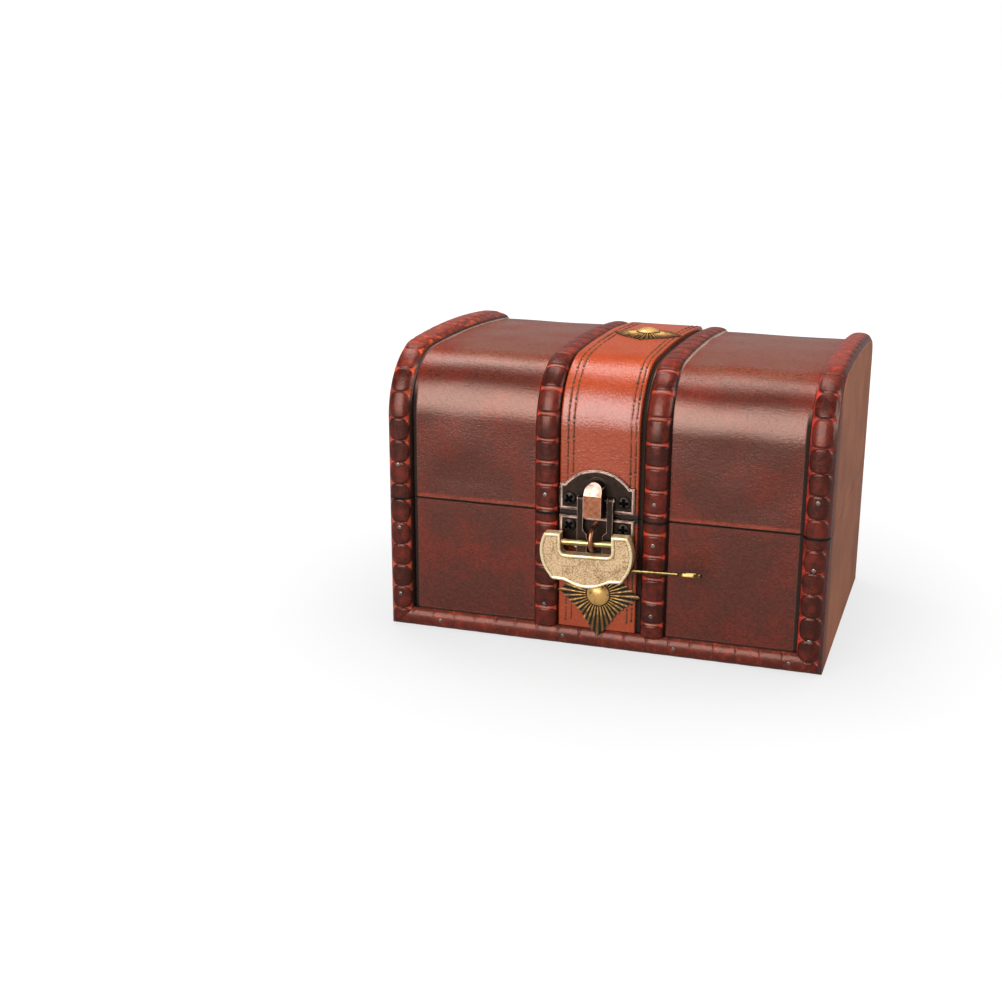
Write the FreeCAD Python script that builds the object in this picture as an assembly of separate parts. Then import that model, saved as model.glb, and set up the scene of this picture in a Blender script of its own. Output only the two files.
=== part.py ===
import FreeCAD, Part
import math
import os

from FreeCAD import Vector

# A small wooden treasure chest: a straight base and a crowned lid with beaded trim,
# a leather strap down the middle, two butt hinges, a hasp over a wire staple, and a
# side-opening padlock with its key in. Millimetres. X runs along the front, to the
# right as seen from the front, Y to the back and Z up. The origin lies on the ground
# under the middle of the outer box.

# Case
case_width = 120.0
case_depth = 77.4            # front panel's face to back panel's face
base_height = 37.3
lid_height = 39.2            # lid's lower edge to the top of its skin
joint_gap = 0.2              # reveal between the base and the closed lid
wall = 5.0                   # front, back and end panels
floor_thickness = 4.0
lid_skin = 4.0               # bent sheet of the lid
front_shoulder = 16.2        # radius where the lid's front turns into its top
back_shoulder = 5.0          # radius where the top turns down the back
crown_radius = 350.0         # gentle crown across the lid's top
crest_lead = 8.4             # crest of the crown ahead of the middle of the case

# Trim on the case
strip_width = 7.0            # half-round strips at the corners
strip_height = 3.0           # how far the upright half-rounds stand proud
trim_sink = 0.9              # how much lower the half-rounds stand on the lid's crown
bottom_strip_width = 5.6     # half-round along the foot of the front
bottom_strip_height = 2.4
band_width = 7.0             # half-rounds beside the strap
strap_width = 22.5
strap_gap = 1.1              # open gap beside the strap, along the right band
strap_thickness = 1.2

# Brad nails that hold the trim
nail_head_radius = 0.6
nail_head_height = 0.35
nail_head_sink = 0.15        # how deep the head is set into the crown of the strip
nail_shank_radius = 0.35
nail_grip = 2.4              # depth in the panel behind the strip

# Sunburst studs on the strap
star_side_lap = 0.2          # how far the side tips lap over the bands
star_end_gap = 0.4           # upper tip to the staple plate
star_tip_lap = 0.6           # how far the lower tip laps over the bottom strip
star_waist_share = 0.66      # hollow between two tips, of the reach
star_rim = 0.7               # thickness of the star's blades
star_dome_radius = 3.25
star_height = 2.0            # strap's face to the top of the dome
star_shank_radius = 0.8
star_grip = 2.2              # depth of the shank in the panel
lid_star_reach = 9.7         # lid's stud is the smaller one
lid_star_offset = 0.9        # it sits a touch right of the middle
lid_star_setback = 13.7      # and behind the crest

# Latch plates
latch_offset = -0.8          # the latch sits a touch left of the middle
plate_margin = 1.15          # strap's edge to the edge of a plate
plate_thickness = 1.0
plate_shoulder = 1.3         # flat ledge at each side of a plate's arch
hasp_plate_lift = 1.4        # lid's lower edge to the hasp plate
hasp_plate_height = 7.0
hasp_plate_arch = 4.3
staple_plate_drop = 0.1      # base's upper edge to the staple plate
staple_plate_height = 7.2
staple_plate_arch = 3.0
screw_head_radius = 1.85
screw_head_height = 0.7
screw_shank_radius = 0.8
screw_grip = 2.8             # depth in the wood
screw_edge = 0.85            # screw head to the side of its plate
hasp_screw_rise = 3.05       # hasp plate's lower edge to the screws
staple_screw_drop = 2.6      # staple plate's upper edge to the screws

# Hasp: a lug on the plate and a stirrup that hangs on its pin
lug_width = 4.8
lug_reach = 4.9              # plate's face to the front of the lug
lug_ledge = 2.7              # depth of the lug at its top
lug_top_rise = 8.75          # plate's lower edge to the top of the lug
lug_facet_rise = 5.6         # plate's lower edge to the foot of the sloping facet
lug_tail = 0.4               # how far the lug hangs below its plate
pin_rise = 3.6               # plate's lower edge to the pin
pin_standoff = 1.2           # plate's face to the pin
pin_radius = 0.4
pin_head = 0.25              # how far the pin stands out of the arms
pin_clearance = 0.05
lug_side_gap = 0.85          # lug to each arm
arm_width = 1.55
stirrup_thickness = 1.4
window_length = 8.5          # pin to where the window starts to narrow
window_taper = 1.2           # height of the narrowing
slot_side_gap = 1.5          # staple's wire to the sides of the slot
slot_end_gap = 0.8           # staple's wire to the end of the slot
stirrup_foot = 1.6
stirrup_chamfer = 1.4

# Staple
wire_radius = 0.6
staple_drop = 1.6            # staple plate's upper edge to the upper leg
loop_radius = 3.1            # middle of the wire
leg_grip = 3.0               # depth of the legs in the wood

# Padlock, drawn about the middle of its bar
padlock_offset = -1.5        # padlock's middle to the middle of the latch
padlock_tilt = 2.0           # degrees, its right end hangs higher
padlock_gap = 0.35           # stirrup to the back of the padlock
padlock_thickness = 2.8
padlock_width = 25.2
padlock_drop = 12.1          # bar to the lowest point
padlock_rise = 2.6           # bar to the tops of the ears
ear_width = 4.3
window_floor = 3.0           # bar to the floor of the opening
window_corner = 1.3
bar_radius = 0.85
bar_lead = 0.7               # bar stands ahead of the middle of the loop's bend
bar_hang = 0.3               # bar above the lower wire's upper side
bar_seat = 2.4               # bar's length in the far ear
bar_clearance = 0.08
tail_drop = 6.7              # bar to the shackle's lower rod and to the key
tail_side = 1.4              # square section of the lower rod
tail_reach = 4.0             # padlock's middle to the end of the lower rod
link_width = 1.4             # shackle's upright at the left end
link_depth = 1.5
link_inset = 1.5             # padlock's widest place to the outer side of the link
link_margin = 0.5            # link beyond the bar and below the lower rod
chamber_clearance = 0.15
spring_thickness = 0.25
spring_length = 8.0
key_radius = 0.55
key_clearance = 0.1
key_tip_gap = 0.6            # lower rod's end to the key's tip
key_stem = 11.6              # stem outside the padlock
bow_length = 6.5
bow_width = 4.4
bow_thickness = 0.8
bow_rim = 1.0
bow_turn = 16.0              # degrees, the bow's front edge is turned up about the stem

# Butt hinges
hinge_spacing = 70.0         # middle to middle of the two hinges
leaf_width = 14.0
leaf_height = 9.0            # pin to the far edge of a leaf
leaf_thickness = 0.8
barrel_radius = 1.4
barrel_gap = 0.1             # barrel to the back of the case
knuckle_gap = 0.15
hinge_pin_radius = 0.7
hinge_pin_clearance = 0.05
hinge_pin_head = 0.3
hinge_screw_head_radius = 1.3
hinge_screw_head_height = 0.5
hinge_screw_shank_radius = 0.6
hinge_screw_grip = 2.8

# One overrun serves all cuts
overrun = 1.0

# Places of the nails, as shares of the run that each row follows
base_corner_nail_shares = (0.26, 0.78)
base_band_nail_shares = (0.31, 0.84)
lid_corner_nail_share = 0.42
lid_band_nail_share = 0.22
bottom_nail_shares = (-0.75, -0.16, 0.35, 0.86)

# Derived heights and depths
half_width = case_width / 2
lid_bottom = base_height + joint_gap
skin_top = lid_bottom + lid_height
strap_half = strap_width / 2
band_centre = strap_half + band_width / 2
strip_centre = half_width - strip_width / 2

plate_face = strap_thickness + plate_thickness
pin_depth = plate_face + pin_standoff
padlock_depth = pin_depth + stirrup_thickness / 2 + padlock_gap + padlock_thickness / 2
loop_depth = padlock_depth - bar_lead
hinge_axis_depth = barrel_radius + barrel_gap
padlock_reach = padlock_depth + max(padlock_thickness, bow_width) / 2
front_reach = max(loop_depth + loop_radius + wire_radius, padlock_reach)
nail_proud = nail_head_height - nail_head_sink
back_reach = max(strip_height + nail_proud, hinge_axis_depth + barrel_radius)
front_y = front_reach - (front_reach + case_depth + back_reach) / 2
back_y = front_y + case_depth
middle_y = (front_y + back_y) / 2

hasp_plate_z = lid_bottom + hasp_plate_lift
staple_plate_z = base_height - staple_plate_drop
staple_plate_foot = staple_plate_z - staple_plate_height - staple_plate_arch
plate_half = strap_half - plate_margin
pin_z = hasp_plate_z + pin_rise
upper_leg_z = staple_plate_z - staple_drop
lower_leg_z = upper_leg_z - 2 * loop_radius
bar_z = lower_leg_z + wire_radius + bar_hang + bar_radius
hinge_axis_y = back_y + hinge_axis_depth
hinge_axis_z = base_height + joint_gap / 2

star_reach = strap_half + star_side_lap
star_top = staple_plate_foot - star_end_gap
star_foot = bottom_strip_width - star_tip_lap
star_rise = (star_top - star_foot) / 2
star_z = (star_top + star_foot) / 2

# Lid's outline: upright front, shoulder, crown, tighter shoulder, upright back
crest_y = middle_y - crest_lead
front_span = crest_y - front_y - front_shoulder
back_span = back_y - back_shoulder - crest_y
front_fall = math.sqrt((crown_radius - front_shoulder) ** 2 - front_span ** 2)
back_fall = math.sqrt((crown_radius - back_shoulder) ** 2 - back_span ** 2)
crown_centre = Vector(0, crest_y, skin_top - crown_radius)
front_centre = Vector(0, front_y + front_shoulder, crown_centre.z + front_fall)
back_centre = Vector(0, back_y - back_shoulder, crown_centre.z + back_fall)
front_turn = math.degrees(math.atan2(front_fall, front_span))
back_turn = math.degrees(math.atan2(back_fall, back_span))
crown_turn = 180 - front_turn - back_turn

to_right = Vector(1, 0, 0)
to_back = Vector(0, 1, 0)
to_top = Vector(0, 0, 1)
to_left = to_right * -1
to_front = to_back * -1


def box(x0, x1, y0, y1, z0, z1):
    return Part.makeBox(x1 - x0, y1 - y0, z1 - z0, Vector(x0, y0, z0))


def rod(start, direction, length, radius):
    return Part.makeCylinder(radius, length, start, direction)


def line(start, end):
    return Part.LineSegment(start, end).toShape()


def arc(start, through, end):
    return Part.Arc(start, through, end).toShape()


def face(edges):
    return Part.Face(Part.Wire(edges))


def polygon(points):
    return Part.Face(Part.makePolygon(points + points[:1]))


def without(shape, tools):
    """Cuts a list of solids out of a shape."""
    for tool in tools:
        shape = shape.cut(tool)
    return shape


def joined(shapes):
    return shapes[0].fuse(shapes[1:]).removeSplitter()


def half_round(centre, across, out, width, height):
    """Flat half-round section that stands on a line through centre."""
    start = centre - across * (width / 2)
    end = centre + across * (width / 2)
    return face([arc(start, centre + out * height, end), line(end, start)])


# Trim sections and runs

def upright_section(x, width, z):
    """Half-round section on the front, looking up."""
    return half_round(Vector(x, front_y, z), to_right, to_front, width, strip_height)


def over_lid(section, sink):
    """Carries a section up the lid's front, over a crown that lies deeper by sink, and down the back."""
    rise = to_top * (front_centre.z - sink - lid_bottom)
    pieces = [section.extrude(rise)]
    section = section.translated(rise)
    bends = ((front_centre, front_turn), (crown_centre, crown_turn), (back_centre, back_turn))
    for lid_centre, turn in bends:
        centre = lid_centre - to_top * sink
        pieces.append(section.revolve(centre, to_left, turn))
        section = section.rotated(centre, to_left, turn)
    pieces.append(section.extrude(to_top * (lid_bottom + sink - back_centre.z)))
    return joined(pieces)


def lid_end_face(x):
    """Full outline of the lid, at one end."""
    across = to_right * x
    low_front = Vector(x, front_y, lid_bottom)
    low_back = Vector(x, back_y, lid_bottom)
    high_front = Vector(x, front_y, front_centre.z)
    high_back = Vector(x, back_y, back_centre.z)
    crest = Vector(x, crest_y, skin_top)

    def on_shoulder(centre, radius, turn):
        reach = radius * math.cos(math.radians(turn))
        lift = abs(radius) * math.sin(math.radians(turn))
        return centre + across + to_back * reach + to_top * lift

    front_mid = on_shoulder(front_centre, -front_shoulder, front_turn / 2)
    front_end = on_shoulder(front_centre, -front_shoulder, front_turn)
    back_mid = on_shoulder(back_centre, back_shoulder, back_turn / 2)
    back_end = on_shoulder(back_centre, back_shoulder, back_turn)
    return face([
        line(low_front, high_front),
        arc(high_front, front_mid, front_end),
        arc(front_end, crest, back_end),
        arc(back_end, back_mid, high_back),
        line(high_back, low_back),
        line(low_back, low_front),
    ])


# Fasteners

def nail(foot, out, height):
    """Brad at a place on a panel, with its head set into the crown of the half-round there."""
    seat = foot + out * (height - nail_head_sink)
    head = rod(seat, out, nail_head_height, nail_head_radius)
    shank_length = height - nail_head_sink + nail_grip
    shank = rod(seat - out * shank_length, out, shank_length, nail_shank_radius)
    return joined([head, shank])


def screw(seat, out, head_radius, head_height, shank_radius, length):
    head = rod(seat, out, head_height, head_radius)
    shank = rod(seat - out * length, out, length, shank_radius)
    return joined([head, shank])


def latch_screw(x, z):
    seat = Vector(x, front_y - plate_face, z)
    length = plate_face + screw_grip
    return screw(seat, to_front, screw_head_radius, screw_head_height, screw_shank_radius, length)


def hinge_screw(x, z):
    seat = Vector(x, back_y + leaf_thickness, z)
    length = leaf_thickness + hinge_screw_grip
    head = (hinge_screw_head_radius, hinge_screw_head_height)
    return screw(seat, to_back, *head, hinge_screw_shank_radius, length)


# Studs

def star(centre, out, along, rise, reach):
    """Four-pointed stud: blades with hollow sides, a dome, and a shank into the wood."""
    across = out.cross(along)
    tips = [along * rise, across * reach, along * -rise, across * -reach]
    outline = []
    for index, tip in enumerate(tips):
        following = tips[(index + 1) % len(tips)]
        hollow = (tip + following) * (star_waist_share / math.sqrt(2))
        outline.append(line(centre + tip, centre + hollow))
        outline.append(line(centre + hollow, centre + following))
    blades = face(outline).extrude(out * star_rim)
    dome_rise = star_height - star_rim
    dome_sphere = (star_dome_radius ** 2 + dome_rise ** 2) / (2 * dome_rise)
    ball = Part.makeSphere(dome_sphere, centre + out * (star_height - dome_sphere))
    dome = ball.common(rod(centre, out, star_height, star_dome_radius))
    shank_length = strap_thickness + star_grip
    shank = rod(centre - out * shank_length, out, shank_length, star_shank_radius)
    return joined([blades, dome, shank])


def base_star():
    return star(Vector(0, front_y - strap_thickness, star_z), to_front, to_top, star_rise, star_reach)


def lid_star():
    turn = math.degrees(math.asin(lid_star_setback / crown_radius))
    crest = Vector(lid_star_offset, crest_y, skin_top + strap_thickness)
    upright = star(crest, to_top, to_back, lid_star_reach, lid_star_reach)
    return upright.rotated(crown_centre, to_left, turn)


# Latch

def plate(edge_z, height, arch, way):
    """Latch plate with a straight edge at the joint, square shoulders and an arched far side."""
    depth = front_y - strap_thickness
    left = latch_offset - plate_half
    right = latch_offset + plate_half
    arch_left = left + plate_shoulder
    arch_right = right - plate_shoulder

    def at(x, rise):
        return Vector(x, depth, edge_z + way * rise)

    outline = [
        line(at(left, 0), at(right, 0)),
        line(at(right, 0), at(right, height)),
        line(at(right, height), at(arch_right, height)),
        arc(at(arch_right, height), at(latch_offset, height + arch), at(arch_left, height)),
        line(at(arch_left, height), at(left, height)),
        line(at(left, height), at(left, 0)),
    ]
    return face(outline).extrude(to_front * plate_thickness)


def screw_places(z):
    reach = plate_half - screw_edge - screw_head_radius
    return [(latch_offset - reach, z), (latch_offset + reach, z)]


def lug():
    """Finger-shaped lug of the hasp plate: side outline within a round-topped front outline."""
    back = front_y - plate_face
    ledge = back - lug_ledge
    front = back - lug_reach
    foot = hasp_plate_z - lug_tail
    side_x = latch_offset - lug_width / 2
    side = polygon([
        Vector(side_x, back, hasp_plate_z),
        Vector(side_x, ledge, foot),
        Vector(side_x, front, foot),
        Vector(side_x, front, hasp_plate_z + lug_facet_rise),
        Vector(side_x, ledge, hasp_plate_z + lug_top_rise),
        Vector(side_x, back, hasp_plate_z + lug_top_rise),
    ])
    finger = side.extrude(to_right * lug_width)
    spring_z = hasp_plate_z + lug_top_rise - lug_width / 2
    trunk = box(side_x, side_x + lug_width, front, back, foot, spring_z)
    cap = rod(Vector(latch_offset, front, spring_z), to_back, lug_reach, lug_width / 2)
    bore_start = Vector(side_x - overrun, front_y - pin_depth, pin_z)
    bore = rod(bore_start, to_right, lug_width + 2 * overrun, pin_radius + pin_clearance)
    return finger.common(joined([trunk, cap])).cut(bore)


def stirrup_outline():
    """Front outline of the stirrup: two arms, a window that narrows to a slot, and a foot."""
    inner = lug_width / 2 + lug_side_gap
    outer = inner + arm_width
    slot = wire_radius + slot_side_gap
    top = pin_z + stirrup_thickness / 2
    narrow = pin_z - window_length
    slot_end = lower_leg_z - wire_radius - slot_end_gap
    foot = slot_end - stirrup_foot
    right_side = [
        (inner, top),
        (inner, narrow),
        (slot, narrow - window_taper),
        (slot, slot_end),
    ]
    outside = [
        (outer - stirrup_chamfer, foot),
        (outer, foot + stirrup_chamfer),
        (outer, top),
    ]
    right_half = outside + right_side
    left_half = [(-x, z) for x, z in reversed(right_half)]
    depth = front_y - pin_depth + stirrup_thickness / 2
    return [Vector(latch_offset + x, depth, z) for x, z in right_half + left_half], outer, foot


def stirrup():
    points, outer, foot = stirrup_outline()
    flat = polygon(points).extrude(to_front * stirrup_thickness)
    half = stirrup_thickness / 2
    pivot_y = front_y - pin_depth
    start_x = latch_offset - outer - overrun
    length = 2 * (outer + overrun)
    trunk = box(start_x, start_x + length, pivot_y - half, pivot_y + half, foot - overrun, pin_z)
    eye = rod(Vector(start_x, pivot_y, pin_z), to_right, length, half)
    return flat.common(joined([trunk, eye])).cut(hasp_pin())


def hasp_pin():
    reach = lug_width / 2 + lug_side_gap + arm_width + pin_head
    start = Vector(latch_offset - reach, front_y - pin_depth, pin_z)
    return rod(start, to_right, 2 * reach, pin_radius)


def staple():
    """Wire loop with both legs driven through the plate and the strap into the panel."""
    leg = loop_depth + leg_grip
    bend = Vector(latch_offset, front_y - loop_depth, (upper_leg_z + lower_leg_z) / 2)
    ring_section = Part.Face(Part.Wire(Part.makeCircle(wire_radius, bend + to_top * loop_radius, to_back)))
    loop = ring_section.revolve(bend, to_right, 180)
    upper = rod(bend + to_top * loop_radius, to_back, leg, wire_radius)
    lower = rod(bend - to_top * loop_radius, to_back, leg, wire_radius)
    return joined([loop, upper, lower])


# Padlock, in its own frame: the bar runs along X through the origin

def hang(shape):
    """Tilts a piece of the padlock about its bar and brings it to the staple."""
    place = Vector(latch_offset + padlock_offset, front_y - padlock_depth, bar_z)
    return shape.rotated(Vector(0, 0, 0), to_front, padlock_tilt).translated(place)


padlock_half = padlock_width / 2
ear_outer_share = 0.89
belly_drop_share = 0.25
hip_shares = (0.81, 0.745)
knee_shares = (0.765, 0.815)
ankle_shares = (0.68, 0.84)
notch_shares = (0.52, 0.85)
turn_shares = (0.445, 0.872)
lobe_shares = (0.37, 0.905)
ear_outer = padlock_half * ear_outer_share
ear_inner = ear_outer - ear_width


def padlock_outline():
    """Cloud-shaped outline with a U-shaped opening between two ears."""
    def at(shares, way):
        return Vector(way * shares[0] * padlock_half, 0, -shares[1] * padlock_drop)

    bevel = window_corner * (1 - math.sqrt(0.5))
    half = {}
    for way in (-1, 1):
        top_in = Vector(way * ear_inner, 0, padlock_rise)
        top_out = Vector(way * ear_outer, 0, padlock_rise)
        wall_foot = Vector(way * ear_inner, 0, window_corner - window_floor)
        corner = Vector(way * (ear_inner - bevel), 0, bevel - window_floor)
        floor_end = Vector(way * (ear_inner - window_corner), 0, -window_floor)
        half[way] = {
            "floor_end": floor_end,
            "lobe": at(lobe_shares, way),
            "edges": [
                arc(floor_end, corner, wall_foot),
                line(wall_foot, top_in),
                line(top_in, top_out),
                arc(top_out, at((1, belly_drop_share), way), at(hip_shares, way)),
                arc(at(hip_shares, way), at(knee_shares, way), at(ankle_shares, way)),
                line(at(ankle_shares, way), at(notch_shares, way)),
                arc(at(notch_shares, way), at(turn_shares, way), at(lobe_shares, way)),
            ],
        }
    lowest = Vector(0, 0, -padlock_drop)
    floor_edge = line(half[-1]["floor_end"], half[1]["floor_end"])
    lobe_edge = arc(half[1]["lobe"], lowest, half[-1]["lobe"])
    return face(Part.__sortEdges__(half[1]["edges"] + [lobe_edge] + half[-1]["edges"] + [floor_edge]))


link_outer = link_inset - padlock_half
link_inner = link_outer + link_width
bar_end = ear_inner + bar_seat
tail_half = tail_side / 2
chamber_half = tail_half + spring_thickness + chamber_clearance
chamber_depth = link_depth / 2 + chamber_clearance
key_tip = tail_reach + key_tip_gap


def padlock_body():
    """Body with a bore for the bar, a slot for the link, a chamber for the springs and a keyhole."""
    thickness = to_front * padlock_thickness
    solid = padlock_outline().extrude(thickness).translated(thickness * -0.5)
    far_left = -padlock_half - overrun
    bar_bore_length = bar_end + bar_clearance - far_left
    bar_bore = rod(Vector(far_left, 0, 0), to_right, bar_bore_length, bar_radius + bar_clearance)
    link_top = bar_radius + link_margin + chamber_clearance
    chamber_foot = -tail_drop - max(chamber_half, tail_half + link_margin + chamber_clearance)
    link_end = link_inner + chamber_clearance
    link_slot = box(far_left, link_end, -chamber_depth, chamber_depth, chamber_foot, link_top)
    chamber_end = key_tip + chamber_clearance
    chamber_roof = chamber_half - tail_drop
    chamber_floor = -chamber_half - tail_drop
    chamber = box(far_left, chamber_end, -chamber_depth, chamber_depth, chamber_floor, chamber_roof)
    keyhole_start = Vector(tail_reach, 0, -tail_drop)
    keyhole = rod(keyhole_start, to_right, padlock_half + overrun - tail_reach, key_radius + key_clearance)
    return hang(without(solid, [bar_bore, link_slot, chamber, keyhole]))


def shackle():
    bar = rod(Vector(link_outer, 0, 0), to_right, bar_end - link_outer, bar_radius)
    link_foot = -tail_drop - tail_half - link_margin
    link_top = bar_radius + link_margin
    half_depth = link_depth / 2
    link = box(link_outer, link_inner, -half_depth, half_depth, link_foot, link_top)
    tail = box(link_outer, tail_reach, -tail_half, tail_half, -tail_drop - tail_half, tail_half - tail_drop)
    return hang(joined([link, bar, tail]))


def shackle_springs():
    """Two leaves pressed flat on the lower rod by the key."""
    leaves = []
    start = tail_reach - spring_length
    for base in (tail_half - tail_drop, -tail_drop - tail_half - spring_thickness):
        leaf = box(start, tail_reach, -tail_half, tail_half, base, base + spring_thickness)
        leaves.append(hang(leaf))
    return Part.makeCompound(leaves)


def oval(start_x, length, width, thickness):
    """Flat round-ended plate that lies level, about the key's axis."""
    radius = width / 2
    low = -tail_drop - thickness / 2
    near = rod(Vector(start_x + radius, 0, low), to_top, thickness, radius)
    far = rod(Vector(start_x + length - radius, 0, low), to_top, thickness, radius)
    middle = box(start_x + radius, start_x + length - radius, -radius, radius, low, low + thickness)
    return joined([near, middle, far])


def key():
    bow_start = padlock_half + key_stem
    stem_length = bow_start + bow_rim - key_tip
    stem = rod(Vector(key_tip, 0, -tail_drop), to_right, stem_length, key_radius)
    hole_length = bow_length - 2 * bow_rim
    hole = oval(bow_start + bow_rim, hole_length, bow_width - 2 * bow_rim, bow_thickness + 2 * overrun)
    bow = oval(bow_start, bow_length, bow_width, bow_thickness)
    flat_key = joined([stem, bow]).cut(hole)
    return hang(flat_key.rotated(Vector(0, 0, -tail_drop), to_left, bow_turn))


# Hinges

knuckle_length = leaf_width / 3
hinge_places = (-hinge_spacing / 2, hinge_spacing / 2)


def hinge_bore(x, radius):
    start = Vector(x - leaf_width / 2 - overrun, hinge_axis_y, hinge_axis_z)
    return rod(start, to_right, leaf_width + 2 * overrun, radius)


def hinge_leaf(x, way, knuckles, bore_radius):
    """Leaf on the back of the base (way -1) or of the lid (way 1), with its knuckles."""
    left = x - leaf_width / 2
    near = hinge_axis_z + way * (barrel_radius + knuckle_gap)
    far = hinge_axis_z + way * leaf_height
    outer_y = back_y + leaf_thickness
    pieces = [box(left, left + leaf_width, back_y, outer_y, min(near, far), max(near, far))]
    for index in knuckles:
        start = left + index * knuckle_length + (knuckle_gap if index else 0)
        end = left + (index + 1) * knuckle_length - (0 if index == 2 else knuckle_gap)
        pieces.append(box(start, end, back_y, outer_y, min(hinge_axis_z, near), max(hinge_axis_z, near)))
        pieces.append(rod(Vector(start, hinge_axis_y, hinge_axis_z), to_right, end - start, barrel_radius))
    return joined(pieces).cut(hinge_bore(x, bore_radius))


def hinge_pin(x):
    start = Vector(x - leaf_width / 2 - hinge_pin_head, hinge_axis_y, hinge_axis_z)
    return rod(start, to_right, leaf_width + 2 * hinge_pin_head, hinge_pin_radius)


def leaf_screws(way):
    rise = (barrel_radius + knuckle_gap + leaf_height) / 2
    places = []
    for x in hinge_places:
        for side in (-1, 1):
            places.append(hinge_screw(x + side * leaf_width / 4, hinge_axis_z + way * rise))
    return places


# Fasteners come first, because the pieces that they pass through are cut by them

def front_nail(x, z):
    return nail(Vector(x, front_y, z), to_front, strip_height)


def bottom_nail(x):
    return nail(Vector(x, front_y, bottom_strip_width / 2), to_front, bottom_strip_height)


base_nails = []
for x in (-strip_centre, strip_centre):
    base_nails += [front_nail(x, share * base_height) for share in base_corner_nail_shares]
for x in (-band_centre, band_centre):
    base_nails += [front_nail(x, share * base_height) for share in base_band_nail_shares]
base_nails += [bottom_nail(share * half_width) for share in bottom_nail_shares]

lid_nails = []
for centre, share in ((strip_centre, lid_corner_nail_share), (band_centre, lid_band_nail_share)):
    z = lid_bottom + share * (front_centre.z - lid_bottom)
    for x in (-centre, centre):
        lid_nails.append(front_nail(x, z))
        lid_nails.append(nail(Vector(x, back_y, z), to_back, strip_height))

hasp_screws = [latch_screw(x, z) for x, z in screw_places(hasp_plate_z + hasp_screw_rise)]
staple_screws = [latch_screw(x, z) for x, z in screw_places(staple_plate_z - staple_screw_drop)]
base_leaf_screws = leaf_screws(-1)
lid_leaf_screws = leaf_screws(1)
base_stud = base_star()
lid_stud = lid_star()
staple_wire = staple()

base_front_tools = base_nails + staple_screws + [base_stud, staple_wire]
lid_skin_tools = lid_nails + hasp_screws + lid_leaf_screws + [lid_stud]


# Base

def base_end(way):
    inner = way * (half_width - wall)
    outer = way * half_width
    end = box(min(inner, outer), max(inner, outer), front_y, back_y, 0, base_height)
    return without(end, base_nails)


def corner_wedge(way, above):
    """Corner of the trim on one side of the mitre between an upright and the bottom strip."""
    outer = way * half_width
    inner = way * (half_width - strip_width)
    third = Vector(outer, front_y, bottom_strip_width) if above else Vector(inner, front_y, 0)
    corner = polygon([Vector(outer, front_y, 0), Vector(inner, front_y, bottom_strip_width), third])
    return corner.extrude(to_front * (max(strip_height, bottom_strip_height) + overrun))


def base_strip(way):
    strip = upright_section(way * strip_centre, strip_width, 0).extrude(to_top * base_height)
    return without(strip, [corner_wedge(way, False)] + base_nails)


def bottom_strip():
    start = Vector(-half_width, front_y, bottom_strip_width / 2)
    section = half_round(start, to_top, to_front, bottom_strip_width, bottom_strip_height)
    strip = section.extrude(to_right * case_width)
    return without(strip, [corner_wedge(-1, True), corner_wedge(1, True)] + base_nails)


def base_band(way):
    section = upright_section(way * band_centre, band_width, bottom_strip_width)
    return without(section.extrude(to_top * (base_height - bottom_strip_width)), base_nails)


foot_strip = bottom_strip()
inner_x = half_width - wall
base_front = box(-inner_x, inner_x, front_y, front_y + wall, 0, base_height)
base_back = box(-inner_x, inner_x, back_y - wall, back_y, 0, base_height)
base_floor = box(-inner_x, inner_x, front_y + wall, back_y - wall, 0, floor_thickness)
strap_right = strap_half - strap_gap
strap_front = front_y - strap_thickness
base_strap = box(-strap_half, strap_right, strap_front, front_y, bottom_strip_width, base_height)


# Lid

def lid_end(way):
    outline = lid_end_face(way * half_width)
    return without(outline.extrude(to_left * (way * wall)), lid_nails)


def lid_sheet(left, right, outer, inner, tools):
    """Sheet bent over the lid, from outer to inner depth measured from the front face."""
    section = polygon([
        Vector(left, front_y - outer, lid_bottom),
        Vector(right, front_y - outer, lid_bottom),
        Vector(right, front_y + inner, lid_bottom),
        Vector(left, front_y + inner, lid_bottom),
    ])
    return without(over_lid(section, 0), tools)


lid_block = lid_end_face(-half_width).extrude(to_right * case_width)


def lid_trim(x, width):
    run = over_lid(upright_section(x, width, lid_bottom), trim_sink)
    return without(run, [lid_block] + lid_nails)


hasp_plate = plate(hasp_plate_z, hasp_plate_height, hasp_plate_arch, 1)
staple_plate = plate(staple_plate_z, staple_plate_height, staple_plate_arch, -1)
outer_knuckles = (0, 2)
middle_knuckle = (1,)

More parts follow.
